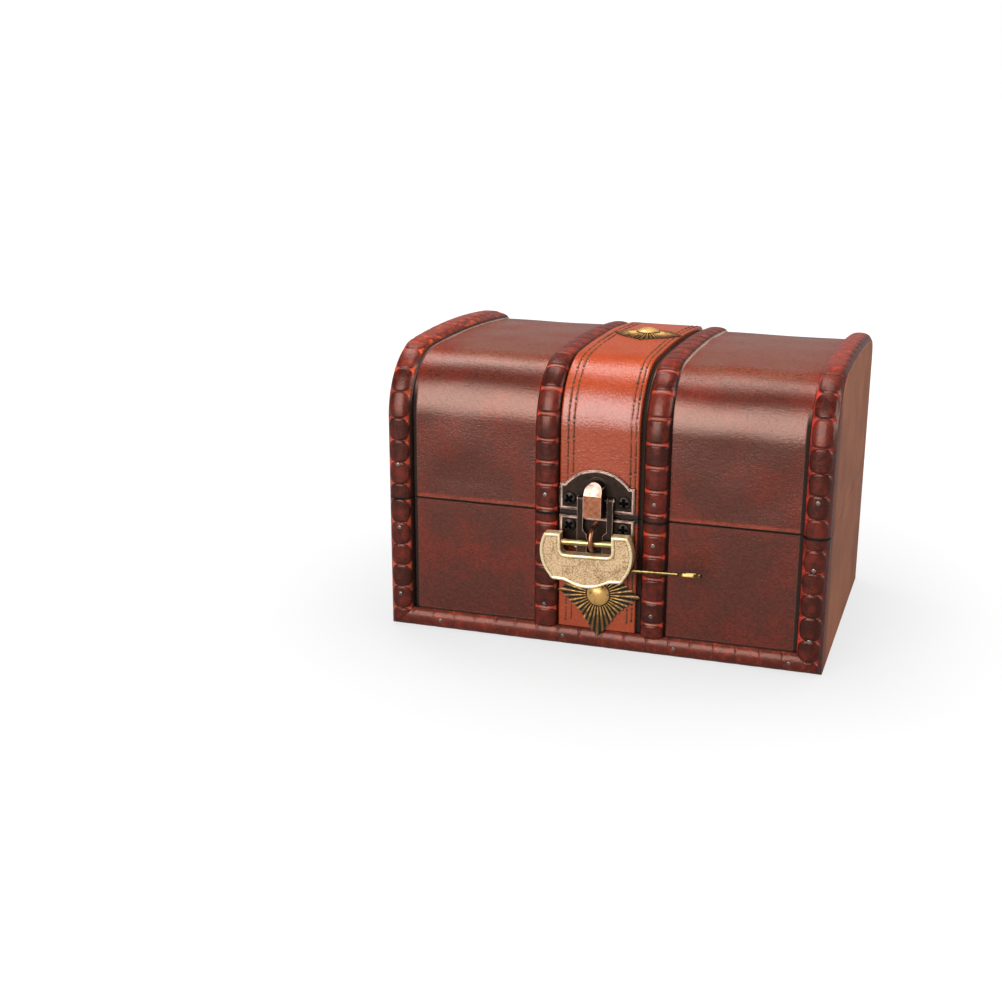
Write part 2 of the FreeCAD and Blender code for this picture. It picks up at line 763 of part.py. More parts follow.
parts = {
    "base_front_panel": without(base_front, base_front_tools),
    "base_back_panel": without(base_back, base_leaf_screws),
    "base_left_end": base_end(-1),
    "base_right_end": base_end(1),
    "base_floor": base_floor,
    "base_left_strip": base_strip(-1),
    "base_right_strip": base_strip(1),
    "bottom_strip": foot_strip,
    "base_left_band": base_band(-1),
    "base_right_band": base_band(1),
    "base_strap": without(base_strap, staple_screws + [base_stud, staple_wire]),
    "base_star_stud": base_stud.cut(foot_strip),
    "base_trim_nails": Part.makeCompound(base_nails),
    "staple_plate": without(staple_plate, staple_screws + [staple_wire]),
    "staple_plate_screws": Part.makeCompound(staple_screws),
    "staple": staple_wire,
    "hinge_base_leaves": Part.makeCompound([
        without(hinge_leaf(x, -1, outer_knuckles, hinge_pin_radius), base_leaf_screws) for x in hinge_places
    ]),
    "hinge_base_screws": Part.makeCompound(base_leaf_screws),
    "hinge_pins": Part.makeCompound([hinge_pin(x) for x in hinge_places]),
    "lid_skin": lid_sheet(-inner_x, inner_x, 0, lid_skin, lid_skin_tools),
    "lid_left_end": lid_end(-1),
    "lid_right_end": lid_end(1),
    "lid_left_strip": lid_trim(-strip_centre, strip_width),
    "lid_right_strip": lid_trim(strip_centre, strip_width),
    "lid_left_band": lid_trim(-band_centre, band_width),
    "lid_right_band": lid_trim(band_centre, band_width),
    "lid_strap": lid_sheet(-strap_half, strap_right, strap_thickness, 0, hasp_screws + [lid_stud]),
    "lid_star_stud": lid_stud,
    "lid_trim_nails": Part.makeCompound(lid_nails),
    "hasp_plate": joined([without(hasp_plate, hasp_screws), lug()]),
    "hasp_plate_screws": Part.makeCompound(hasp_screws),
    "hinge_lid_leaves": Part.makeCompound([
        without(hinge_leaf(x, 1, middle_knuckle, hinge_pin_radius + hinge_pin_clearance), lid_leaf_screws)
        for x in hinge_places
    ]),
    "hinge_lid_screws": Part.makeCompound(lid_leaf_screws),
    "hasp_stirrup": stirrup(),
    "hasp_pin": hasp_pin(),
    "padlock_body": padlock_body(),
    "padlock_shackle": shackle(),
    "padlock_springs": shackle_springs(),
    "padlock_key": key(),
}

os.makedirs("parts", exist_ok=True)
for name, shape in parts.items():
    shape.exportStep("parts/" + name + ".step")
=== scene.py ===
import math

import bmesh
import bpy
import numpy as np
from bpy.props import FloatProperty, FloatVectorProperty, IntProperty, PointerProperty
from bpy.types import Operator, Panel, PropertyGroup
from mathutils import Matrix, Vector


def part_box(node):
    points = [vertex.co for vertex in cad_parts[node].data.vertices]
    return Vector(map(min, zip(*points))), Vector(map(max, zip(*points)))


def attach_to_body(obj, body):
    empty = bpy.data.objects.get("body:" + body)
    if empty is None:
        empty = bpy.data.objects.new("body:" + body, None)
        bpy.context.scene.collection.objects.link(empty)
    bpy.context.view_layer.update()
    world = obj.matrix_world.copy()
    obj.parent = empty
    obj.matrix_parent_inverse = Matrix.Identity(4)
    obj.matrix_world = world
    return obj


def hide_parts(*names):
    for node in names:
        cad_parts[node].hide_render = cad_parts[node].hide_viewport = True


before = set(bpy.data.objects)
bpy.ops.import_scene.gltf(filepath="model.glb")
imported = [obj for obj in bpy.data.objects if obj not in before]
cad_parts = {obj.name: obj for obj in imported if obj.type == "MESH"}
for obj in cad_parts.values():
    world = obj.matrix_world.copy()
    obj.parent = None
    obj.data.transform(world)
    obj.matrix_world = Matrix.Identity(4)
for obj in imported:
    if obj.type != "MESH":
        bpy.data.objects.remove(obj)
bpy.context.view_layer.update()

bl_info = {
    "name": "Treasure Chest Box",
    "version": (1, 0, 0),
    "blender": (4, 5, 0),
    "location": "View3D > Sidebar > Chest",
    "description": "Dresses the solids of a small wooden chest with trim, leather, latch and padlock",
    "category": "Object",
}

MM = 0.001

# Seams closer than this are joined, flats closer in depth count as one, faces that turn less are one flat
# and edges that turn more are rounded
SEAM = 0.001 * MM
SAME_DEPTH = 0.05 * MM
LEVEL_ANGLE = math.radians(0.5)
SHARP_ANGLE = math.radians(28)

# Faces larger than this are shaded flat; angles in degrees above which the edges of a piece show
FLAT_AREA = 8 * MM * MM
PLAIN_CREASE = 40
FINE_CREASE = 50
TRIM_CREASE = 60
STUD_CREASE = 70

# Seeds of the uneven shapes; each run of trim adds its number to its own
TRIM_SEED = 20
FOOT_SEED = 9
STAR_SEED = 5
DENT_SEED = 4
LEATHER_SEED = 11

WHITE = (1.0, 1.0, 1.0)
# Black of the joints, and of the painted shade in the gaps beside the trim and the strap
JOINT_AND_SHADE_BLACK = (0.005, 0.003, 0.002)
# Painted shade in the cross recesses of the screws
RECESS_SHADE_BLACK = (0.004, 0.003, 0.003)

# Places that the solids give
front_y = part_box("base_front_panel")[0].y
back_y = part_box("base_back_panel")[1].y
middle_y = (front_y + back_y) / 2
base_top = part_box("base_front_panel")[1].z
lid_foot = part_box("lid_skin")[0].z
lid_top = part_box("lid_skin")[1].z
half_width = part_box("lid_right_end")[1].x
joint_z = (lid_foot + base_top) / 2


# Settings

def length(name, description, millimetres):
    return FloatProperty(name=name, description=description, default=millimetres * MM, unit="LENGTH")


def share(name, description, value):
    return FloatProperty(name=name, description=description, default=value, subtype="FACTOR")


def angle(name, description, degrees):
    return FloatProperty(name=name, description=description, default=math.radians(degrees), subtype="ANGLE")


def wattage(name, description, watts):
    return FloatProperty(name=name, description=description, default=watts, unit="POWER")


def colour(name, description, red, green, blue):
    return FloatVectorProperty(
        name=name, description=description, default=(red, green, blue), subtype="COLOR", min=0.0, max=1.0
    )


class WoodSettings(PropertyGroup):
    """Panels of the base and the lid."""
    dark: colour("Dark stain", "Stain in the middle of a panel", 0.062, 0.0115, 0.0070)
    red: colour("Red stain", "Stain towards the sides of a panel", 0.140, 0.012, 0.006)
    # The crown stain is partly stain and partly painted light: the lid's top is lighter where light from
    # above falls
    crown_stain_and_light: colour("Crown stain", "Lighter stain on the lid's crown", 0.136, 0.038, 0.022)
    edge: colour("Rubbed edge", "Stain where an edge is rubbed", 0.300, 0.042, 0.018)
    end_dark: colour("End dark", "Darker streaks of the end panels", 0.220, 0.062, 0.024)
    end_light: colour("End light", "Lighter streaks of the end panels", 0.365, 0.128, 0.056)
    front_shoulder: length("Front shoulder", "Radius between the lid's front and its top", 16.2)
    back_shoulder: length("Back shoulder", "Radius between the lid's top and its back", 5.0)
    crown: length("Crown radius", "Gentle curve across the lid's top", 350.0)
    crest_lead: length("Crest lead", "Crest of the crown ahead of the middle of the case", 8.4)
    skin: length("Skin thickness", "Thickness of the bent sheet", 4.0)
    dent: length("Dents", "Depth of the waves in the bent sheet", 0.10)
    rounding: length("Rounded edge", "Rounding along the edges of the panels", 0.35)


class TrimSettings(PropertyGroup):
    """Beaded half-round strips and bands."""
    bead: colour("Bead", "Dark stain on the crowns of the beads", 0.032, 0.005, 0.003)
    rub: colour("Rubbed bead", "Stain where the beads are handled", 0.118, 0.014, 0.008)
    # The line colour is a painted highlight: the pale line across the middle of each cut, where the cut's
    # edge would catch the light
    line: colour("Line", "Thin line in the cuts between the beads", 0.290, 0.085, 0.060)
    left_hollow: colour("Left hollow", "Bare stain in the cuts of the left strips", 0.540, 0.070, 0.024)
    right_hollow: colour("Right hollow", "Bare stain in the cuts of the right strips", 0.440, 0.040, 0.028)
    foot_hollow: colour("Foot hollow", "Bare stain in the cuts of the foot strip", 0.420, 0.062, 0.028)
    band_hollow: colour("Band hollow", "Bare stain in the cuts of the bands", 0.560, 0.045, 0.020)
    # Painted shade on the outer flank of the right strips, the side away from the light
    flank: colour("Outer flank", "Stain on the outer flank of the right strips", 0.042, 0.010, 0.007)
    crown: colour("Crown", "Stain of the trim on the lid's crown", 0.170, 0.032, 0.020)
    pale: colour("Pale line", "Bare line along the inner foot of the trim on the crown", 0.400, 0.260, 0.200)
    # Painted shade along the foot of the trim and where it meets the joint, and in the groove of the
    # padlock's border
    foot_shade: colour("Foot shade", "Dark line along the foot of the trim", 0.008, 0.005, 0.004)
    depth: share("Cut depth", "Depth of the cuts, of the height of the trim", 0.20)
    strip_height: length("Trim height", "How far the upright trim stands proud", 3.0)
    sink: length("Crown sink", "How much lower the trim stands on the lid's crown", 0.9)
    foot_height: length("Foot strip height", "How far the foot strip stands proud", 2.4)
    waver: length("Waver", "How far a cut may lie from its place", 0.22)
    spread: share("Spread", "How much wider the inner half of the left strip gets towards the back", 0.80)


class StrapSettings(PropertyGroup):
    """Leather strap and its stitching."""
    leather: colour("Leather", "Main colour of the leather", 0.300, 0.042, 0.009)
    leather_dark: colour("Dark leather", "Darker clouds in the leather", 0.245, 0.030, 0.006)
    thread: colour("Thread", "Colour of the thread", 0.060, 0.028, 0.011)
    # The hole colour is painted shade, in the stitch holes and on the leather along the joint
    hole: colour("Stitch hole", "Colour in the stitch holes", 0.012, 0.008, 0.006)
    thickness: length("Thickness", "Thickness of the leather", 1.2)
    rounding: length("Rounded edge", "Rounding along the edges of the leather", 0.5)
    pitch: length("Stitch length", "One stitch hole to the next", 4.7)
    thread_radius: length("Thread radius", "Radius of the thread", 0.14)
    hole_radius: length("Hole radius", "Radius of a stitch hole", 0.42)
    rows: FloatVectorProperty(
        name="Stitch rows", description="Places of the four rows across the strap", size=4, unit="LENGTH",
        default=(-9.1 * MM, -7.6 * MM, 7.8 * MM, 9.1 * MM),
    )


class StudSettings(PropertyGroup):
    """Sunburst studs."""
    brass: colour("Rib brass", "Brass on the crowns of the ribs", 0.780, 0.440, 0.140)
    brown: colour("Brown brass", "Duller patches of the brass", 0.180, 0.088, 0.026)
    flute: colour("Flute", "Dark finish in the flutes", 0.009, 0.006, 0.003)
    ribs: IntProperty(name="Ribs", description="Number of ribs round the dome", default=36)
    rib_depth: length("Rib depth", "Depth of the flutes between the ribs", 0.45)
    edge: length("Edge", "Thickness of the blades at their edge", 0.30)
    slope: length("Slope", "How much thicker the blades are at the dome", 0.55)
    dome_radius: length("Dome radius", "Radius of the dome", 3.25)
    dome_height: length("Dome height", "Strap to the top of the dome", 2.0)
    waist: share("Waist", "Hollow between two tips of the stud on the base, of the reach", 0.66)
    lid_waist: share("Lid waist", "The same of the stud on the lid", 0.86)
    tip_drop: length("Tip drop", "How much longer the lower tip on the base is", 1.4)
    tip_lift: length("Tip lift", "How far that tip is bent up over the foot strip", 1.1)


class LatchSettings(PropertyGroup):
    """Hasp, staple, their plates and screws."""
    bronze: colour("Dark bronze", "Plating on the faces", 0.048, 0.031, 0.024)
    copper: colour("Worn copper", "Bare metal along the edges", 0.780, 0.520, 0.410)
    lug: colour("Lug copper", "Worn front of the lug", 0.470, 0.180, 0.096)
    wire: colour("Staple copper", "Wire of the staple", 0.480, 0.210, 0.110)
    screw: colour("Blackened screw", "Finish of the screws", 0.050, 0.040, 0.034)
    bevel: length("Bevel", "Bevel along the edges of the plates", 0.55)
    rim_width: length("Rim width", "Width of the rubbed rim of a plate", 0.75)
    rim_height: length("Rim height", "Height of that rim over the plate", 0.05)
    cross_reach: share("Cross reach", "Reach of the cross recess, of the head's radius", 0.74)
    cross_half: share("Cross width", "Half width of the recess, of the head's radius", 0.19)
    steel: colour("Nail steel", "Steel of the brads", 0.330, 0.260, 0.220)
    hinge: colour("Hinge brass", "Brass of the hinges", 0.420, 0.280, 0.120)


class PadlockSettings(PropertyGroup):
    """Padlock, shackle and key."""
    pale: colour("Pale brass", "Light grains of the face", 0.720, 0.500, 0.290)
    brown: colour("Brown brass", "Dark grains of the face", 0.260, 0.140, 0.058)
    border: colour("Border", "Bright raised border", 0.860, 0.660, 0.380)
    # Painted shade in the groove along the border's inner foot
    foot_shade: colour("Border groove", "Dark line inside the border", 0.070, 0.036, 0.014)
    bar: colour("Shackle brass", "Brass of the shackle", 0.520, 0.390, 0.170)
    key: colour("Key brass", "Brass of the key", 0.270, 0.175, 0.060)
    width: length("Border width", "Width of the raised border", 0.90)
    height: length("Border height", "Height of the border over the face", 0.30)


class StageSettings(PropertyGroup):
    """Camera, lamps and floor."""
    place: FloatVectorProperty(
        name="Camera", description="Place of the camera", unit="LENGTH", default=(0.0995, -0.417475, 0.1622)
    )
    azimuth: angle("Azimuth", "Camera to the right of the front", 18.48)
    elevation: angle("Elevation", "Camera above the level", 18.25)
    lens: FloatProperty(
        name="Lens", description="Focal length on a 36 mm frame", default=56.116, unit="CAMERA"
    )
    shift: share("Shift", "Upward shift of the frame, of its width", 0.0318)
    front_lamp: wattage("Front lamp", "Power of the front soft box", 9.0)
    low_lamp: wattage("Low lamp", "Power of the low front soft box", 0.8)
    top_lamp: wattage("Top lamp", "Power of the top strip box", 3.6)
    top_roll: angle("Top roll", "Turn of the top strip box about its own axis", 97.5)
    ceiling_lamp: wattage("Ceiling lamp", "Power of the ceiling light", 17.0)
    side_lamp: wattage("Side lamp", "Power of the right soft box", 5.0)
    fill: share("Fill", "Level of the even light from all round", 0.12)
    floor: colour("Floor", "Colour of the floor", 0.08, 0.08, 0.08)
    floor_gloss: share("Floor in gloss", "Level of the floor in gloss, of what the camera sees", 0.30)


SETTINGS = (
    ("chest_wood", WoodSettings),
    ("chest_trim", TrimSettings),
    ("chest_strap", StrapSettings),
    ("chest_stud", StudSettings),
    ("chest_latch", LatchSettings),
    ("chest_padlock", PadlockSettings),
    ("chest_stage", StageSettings),
)


# Meshes

def loft(rings, endless=False):
    """Skin over rings of points, with a flat face at each end unless the rings close on themselves."""
    rings = np.asarray(rings, float)
    count, size = rings.shape[:2]
    faces = []
    for i in range(count if endless else count - 1):
        here = i * size
        there = (i + 1) % count * size
        for j in range(size):
            k = (j + 1) % size
            faces.append((here + j, here + k, there + k, there + j))
    if not endless:
        last = (count - 1) * size
        faces.append(tuple(range(size - 1, -1, -1)))
        faces.append(tuple(range(last, last + size)))
    return rings.reshape(-1, 3), faces


def together(shapes):
    """Several shapes as one."""
    points, faces, start = [], [], 0
    for own_points, own_faces in shapes:
        points.append(np.asarray(own_points, float))
        faces += [tuple(index + start for index in face) for face in own_faces]
        start += len(own_points)
    return np.concatenate(points), faces


def add_piece(name, mesh, finish, body, nodes=(), crease=PLAIN_CREASE):
    """Links a mesh as a piece that rides on a body and stands for solids; its large faces stay flat."""
    mesh.materials.clear()
    mesh.materials.append(finish)
    mesh.shade_smooth()
    mesh.set_sharp_from_angle(angle=math.radians(crease))
    for face in mesh.polygons:
        face.use_smooth = face.area < FLAT_AREA
    piece = bpy.data.objects.new(name, mesh)
    bpy.context.scene.collection.objects.link(piece)
    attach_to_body(piece, body)
    if nodes:
        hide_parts(*nodes)
    return piece


def new_mesh(name, shape, marks=None):
    """Mesh from points and faces, with its marks as point attributes."""
    points, faces = shape
    mesh = bpy.data.meshes.new(name)
    mesh.from_pydata(np.asarray(points).tolist(), [], faces)
    for mark, values in (marks or {}).items():
        layer = mesh.attributes.new(mark, "FLOAT", "POINT")
        layer.data.foreach_set("value", np.asarray(values, np.float32).ravel())
    work = bmesh.new()
    work.from_mesh(mesh)
    bmesh.ops.recalc_face_normals(work, faces=work.faces)
    work.to_mesh(mesh)
    work.free()
    mesh.update()
    return mesh


def joined_surface(node):
    """A solid's surface with its seams joined."""
    work = bmesh.new()
    work.from_mesh(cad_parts[node].data)
    bmesh.ops.remove_doubles(work, verts=work.verts, dist=SEAM)
    return work


def welded(node):
    """A solid's surface with its seams joined and its flat faces whole."""
    work = joined_surface(node)
    bmesh.ops.dissolve_limit(work, angle_limit=LEVEL_ANGLE, verts=work.verts, edges=work.edges)
    return work


def softened(node, width, steps=3):
    """Copy of a solid with rounded edges; its edge faces carry the mark edge."""
    work = welded(node)
    edges = [edge for edge in work.edges if edge.is_manifold and edge.calc_face_angle() > SHARP_ANGLE]
    layer = work.faces.layers.float.new("edge")
    made = bmesh.ops.bevel(
        work, geom=edges, offset=width, segments=steps, profile=0.5, affect="EDGES", clamp_overlap=True
    )
    for face in made["faces"]:
        face[layer] = 1.0
    mesh = bpy.data.meshes.new(node)
    work.to_mesh(mesh)
    work.free()
    return mesh


def islands(node):
    """Lowest and highest corner of each separate solid of a node."""
    work = joined_surface(node)
    seen, found = set(), []
    for start in work.verts:
        if start in seen:
            continue
        waiting, group = [start], []
        seen.add(start)
        while waiting:
            vertex = waiting.pop()
            group.append(vertex.co.copy())
            for edge in vertex.link_edges:
                other = edge.other_vert(vertex)
                if other not in seen:
                    seen.add(other)
                    waiting.append(other)
        cloud = np.array(group)
        found.append((Vector(cloud.min(0)), Vector(cloud.max(0))))
    work.free()
    return found


def smooth_step(low, high, values):
    t = np.clip((values - low) / (high - low), 0, 1)
    return t * t * (3 - 2 * t)


def waves(x, y, seed, size):
    """Soft unevenness from a few seeded waves, about -1 to 1."""
    rng = np.random.default_rng(seed)
    total = 0
    for _ in range(7):
        turn = rng.uniform(0, 2 * math.pi)
        pace = rng.uniform(0.6, 1.7) / size
        start = rng.uniform(0, 2 * math.pi)
        total = total + np.sin(2 * math.pi * pace * (x * math.cos(turn) + y * math.sin(turn)) + start)
    return total / 3.5


# Runs that the trim and the strap follow: along, across and height give a place

class LidRun:
    """From the lid's lower front edge up, over the crown and down the back."""

    def __init__(self, settings, centre_x, sink=0.0):
        self.centre_x = centre_x
        front, back, crown = settings.front_shoulder, settings.back_shoulder, settings.crown
        crest_y = middle_y - settings.crest_lead
        self.crown_place = (crest_y, lid_top - sink - crown)
        front_span = crest_y - front_y - front
        back_span = back_y - back - crest_y
        front_fall = math.sqrt((crown - front) ** 2 - front_span ** 2)
        back_fall = math.sqrt((crown - back) ** 2 - back_span ** 2)
        self.front_place = (front_y + front, self.crown_place[1] + front_fall)
        self.back_place = (back_y - back, self.crown_place[1] + back_fall)
        front_turn = math.atan2(front_fall, front_span)
        back_turn = math.pi - math.atan2(back_fall, back_span)
        self.upright = self.front_place[1] - lid_foot
        self.bend = self.upright + front * front_turn
        self.crown_end = self.bend + crown * (back_turn - front_turn)
        self.back_end = self.crown_end + back * (math.pi - back_turn)
        self.length = self.back_end + self.back_place[1] - lid_foot
        self.starts = (self.upright, self.bend, self.crown_end)
        self.turns = (0.0, front_turn, back_turn)
        self.radii = (front, crown, back)

    def place(self, along, across, height):
        along, across, height = np.broadcast_arrays(along, across, height)
        part = np.clip(np.searchsorted(self.starts, along) - 1, 0, 2)
        radius = np.take(self.radii, part)
        reached = np.clip(along, self.upright, self.back_end) - np.take(self.starts, part)
        turn = np.take(self.turns, part) + reached / radius
        centres = np.array((self.front_place, self.crown_place, self.back_place))[part]
        y = centres[..., 0] - (radius + height) * np.cos(turn)
        z = centres[..., 1] + (radius + height) * np.sin(turn)
        z = z + np.minimum(along - self.upright, 0) - np.maximum(along - self.back_end, 0)
        return np.stack([self.centre_x + across, y, z], -1)


class FrontRun:
    """Straight up the front of the base."""

    def __init__(self, centre_x):
        self.centre_x = centre_x

    def place(self, along, across, height):
        along, across, height = np.broadcast_arrays(along, across, height)
        return np.stack([self.centre_x + across, front_y - height, along], -1)


class FootRun:
    """Along the foot of the front, from left to right."""

    def __init__(self, centre_z):
        self.centre_z = centre_z

    def place(self, along, across, height):
        along, across, height = np.broadcast_arrays(along, across, height)
        return np.stack([along, front_y - height, self.centre_z + across], -1)


# Trim

def block_section(width, height, power, count):
    """Places across a rounded block and their heights; a higher power gives a squarer block."""
    turns = np.linspace(math.pi, 0, count)
    bow = np.cos(turns)
    across = width / 2 * np.sign(bow) * np.abs(bow) ** (2 / power)
    return across, height * np.sin(turns) ** (2 / power)


def bead_hollows(along, across, half, cuts, waver, seed):
    """How far each point lies in the cuts and to the sides of the beads, and a chance value for each bead."""
    first, pitch, form = cuts
    end_gap, side_share, end_power, side_power, soft = form
    rng = np.random.default_rng(seed)
    low = math.floor((along.min() - first) / pitch) - 1
    high = math.ceil((along.max() - first) / pitch) + 1
    places = first + pitch * np.arange(low, high + 1)
    places = places + rng.uniform(-waver, waver, len(places))
    index = np.clip(np.searchsorted(places, along) - 1, 0, len(places) - 2)
    bead_length = places[index + 1] - places[index]
    lean = rng.uniform(-0.25, 0.25, len(places))[index]
    u = np.abs(2 * (along - places[index]) - bead_length) / (bead_length - end_gap)
    v = np.abs(across / half + 0.12 * lean) / side_share
    hollow = smooth_step(1 - soft, 1 + soft, u ** end_power + v ** side_power)
    return hollow, smooth_step(0.40, 0.75, v), rng.uniform(0, 1, len(places))[index]


def moulding(name, node, finish, run, along, section, cuts, seed, from_joint, fade=0.0, lean=0.0, bare=0.0):
    """Adds rounded trim with beads cut into it; along has one row for each ring."""
    settings = bpy.context.scene.chest_trim
    width, height, (flanks, power_upright, power_crown, crown_height) = section
    squareness = power_upright + (power_crown - power_upright) * fade
    across, rise = block_section(width, height, squareness, along.shape[1])
    across = across + lean * np.maximum(across, 0)
    rise = rise * (1 + (crown_height - 1) * fade)
    hollow, side, rub = bead_hollows(along, across, width / 2, cuts, settings.waver, seed)
    hollow = hollow * (1 - 0.6 * fade)
    lift = rise * (1 - settings.depth * hollow)
    level = np.broadcast_to(rise / height, along.shape)
    # The foot mark is painted shade: dark flanks up to a share of the trim's height, and dark ends where the
    # trim meets the joint
    reach = np.where(across < 0, flanks[0], flanks[1]) * (1 - 0.10 * fade)
    foot = 1 - smooth_step(0.70 * reach, reach + 0.01, level)
    foot = np.maximum(foot, 1 - smooth_step(0.25 * MM, 0.6 * MM, from_joint))
    marks = {
        "hollow": hollow,
        "side": side,
        "rub": rub,
        "foot": foot,
        # outer places the painted shade on the outer flank of the right strips
        "outer": smooth_step(0.40, 0.80, across / (width / 2)) * np.ones_like(along),
        "pale": (1 - smooth_step(0.38, 0.48, level)) * (across > 0) * fade * bare,
        "crown": np.broadcast_to(fade, along.shape),
    }
    mesh = new_mesh(name, loft(run.place(along, across, lift)), marks)
    body = "lid" if node.startswith("lid") else "base"
    add_piece(name, mesh, finish, body, [node], TRIM_CREASE)


ACROSS = 29
ALONG_STEP = 0.25 * MM

# Gap between beads, width share of the beads, powers of their outline along and across, softness
BEAD_FORM = (0.14 * MM, 0.82, 2.8, 3.4, 0.22)
BAND_FORM = (0.70 * MM, 0.92, 4.5, 6.0, 0.42)
FOOT_FORM = (0.10 * MM, 1.02, 5.0, 2.4, 0.24)

# Height up to which the left and the right flank are painted dark as shade, of the height of the trim, then
# the power of the section upright and on the crown, and its height on the crown
LEFT_STYLE = ((0.30, 0.80), 2.3, 3.0, 1.0)
RIGHT_STYLE = ((0.55, 0.0), 2.3, 2.4, 1.0)
BAND_STYLE = ((0.70, 0.70), 2.2, 2.4, 0.72)
FOOT_STYLE = ((0.25, 0.50), 2.2, 2.2, 1.0)

# The foot strip: first cut from the middle, pitch and form, and how far its beads are faded
FOOT_CUTS = (1.2 * MM, 6.1 * MM, FOOT_FORM)
FOOT_FADE = 0.9

# Trim with a pale line along its inner foot on the crown
PALE_LINED = ("lid_left_strip", "lid_right_band")

# For each upright run: first cut and pitch, in millimetres from the ground
TRIM_RUNS = {
    "base_left_strip": (5.6, 6.26),
    "base_right_strip": (3.9, 6.10),
    "base_left_band": (10.8, 5.90),
    "base_right_band": (9.3, 6.27),
    "lid_left_strip": (41.5, 6.10),
    "lid_right_strip": (42.6, 6.10),
    "lid_left_band": (38.8, 6.20),
    "lid_right_band": (39.8, 6.20),
}


def trim_style(node):
    """Form of the beads and section of a strip or a band."""
    if node.endswith("band"):
        return BAND_FORM, BAND_STYLE
    return BEAD_FORM, RIGHT_STYLE if "right" in node else LEFT_STYLE


def rows_between(low, high):
    return np.linspace(0, 1, int(round((np.max(high) - np.min(low)) / ALONG_STEP)) + 1)


def build_lid_trim(node, finish, seed):
    """Trim up the front of the lid and over its crown, where the beads fade."""
    low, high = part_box(node)
    settings = bpy.context.scene.chest_trim
    run = LidRun(bpy.context.scene.chest_wood, (low.x + high.x) / 2, settings.sink)
    form, style = trim_style(node)
    rows = rows_between(0, run.length)[:, None] * run.length
    along = np.repeat(rows, ACROSS, axis=1)
    fade = smooth_step(run.upright + 0.45 * (run.bend - run.upright), run.bend + 2 * MM, rows)
    fade = fade * (1 - smooth_step(run.crown_end, run.back_end + 6 * MM, rows))
    first, pitch = TRIM_RUNS[node]
    section = (high.x - low.x, settings.strip_height, style)
    cuts = (first * MM - lid_foot, pitch * MM, form)
    spread = settings.spread if node == "lid_left_strip" else 0.0
    lean = spread * fade * smooth_step(run.upright, run.crown_end, rows)
    bare = float(node in PALE_LINED)
    moulding("beaded_" + node, node, finish, run, along, section, cuts, seed, along, fade, lean, bare)


def build_base_trim(node, finish, seed):
    """Upright trim of the base; a corner strip meets the foot strip on a mitre."""
    low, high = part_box(node)
    width = high.x - low.x
    centre = (low.x + high.x) / 2
    height = bpy.context.scene.chest_trim.strip_height
    form, style = trim_style(node)
    first, pitch = TRIM_RUNS[node]
    across = block_section(width, height, style[1], ACROSS)[0]
    start = np.full(ACROSS, low.z)
    if low.z < MM:
        outward = np.sign(centre) * across / width + 0.5
        start = (1 - outward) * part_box("bottom_strip")[1].z
    rows = rows_between(start, high.z)[:, None]
    along = start + rows * (high.z - start)
    cuts = (first * MM, pitch * MM, form)
    section = (width, height, style)
    moulding("beaded_" + node, node, finish, FrontRun(centre), along, section, cuts, seed, high.z - along)


def build_foot_strip(finish):
    """Strip along the foot of the front, mitred at both ends."""
    low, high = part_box("bottom_strip")
    width = high.z - low.z
    height = bpy.context.scene.chest_trim.foot_height
    strip_low, strip_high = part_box("base_right_strip")
    across = block_section(width, height, FOOT_STYLE[1], ACROSS)[0]
    end = half_width - (strip_high.x - strip_low.x) * (across / width + 0.5)
    rows = np.linspace(-1, 1, int(round(2 * half_width / ALONG_STEP)) + 1)[:, None]
    run = FootRun((low.z + high.z) / 2)
    section = (width, height, FOOT_STYLE)
    moulding(
        "beaded_foot_strip", "bottom_strip", finish, run, rows * end, section, FOOT_CUTS, FOOT_SEED,
        from_joint=base_top, fade=FOOT_FADE,
    )


# Strap

def strap_section(settings, left, right):
    """Places across the strap and their heights, with rounded edges and a shallow groove under each row."""
    thick = settings.thickness
    rounding = settings.rounding
    turns = np.linspace(0, math.pi / 2, 5)
    bow = rounding * (1 - np.cos(turns))
    edge_height = thick - rounding + rounding * np.sin(turns)
    inner = np.linspace(right - rounding, left + rounding, 96)[1:-1]
    groove = sum(np.exp(-((inner - row) / (0.28 * MM)) ** 2) for row in settings.rows)
    inner_height = thick - 0.10 * MM * groove
    across = np.concatenate([[right], right - bow, inner, left + bow[::-1], [left]])
    height = np.concatenate([[0.0], edge_height, inner_height, edge_height[::-1], [0.0]])
    return across, height


# Stitching: first hole of a row and shift from row to row, then hole to hole, all of the stitch length
FIRST_HOLE = 0.35
ROW_SHIFT = 0.12
THREAD_SPAN = 0.74
LAST_HOLE = 0.3 * MM

# The ends of a thread and the holes lie under the leather's face; the thread bows up between them
STITCH_SINK = 0.12 * MM
THREAD_BOW = 0.16 * MM
HOLE_RISE = 0.10 * MM
FAR_HOLE = 0.8
HOLE_RINGS = ((1.0, 0.0), (1.0, 0.5), (0.8, 0.85), (0.45, 1.0))


def stitches(settings, run, low, high):
    """Threads from hole to hole, and the dark holes."""
    threads, holes = [], []
    for number, row in enumerate(settings.rows):
        lead = (FIRST_HOLE + ROW_SHIFT * number) * settings.pitch
        for start in np.arange(low + lead, high - LAST_HOLE, settings.pitch):
            holes.append(stitch_hole(settings, run, start, row, settings.hole_radius))
            end = start + THREAD_SPAN * settings.pitch
            if end < high:
                threads.append(thread(settings, run, start, end, row))
                holes.append(stitch_hole(settings, run, end, row, FAR_HOLE * settings.hole_radius))
    return threads, holes


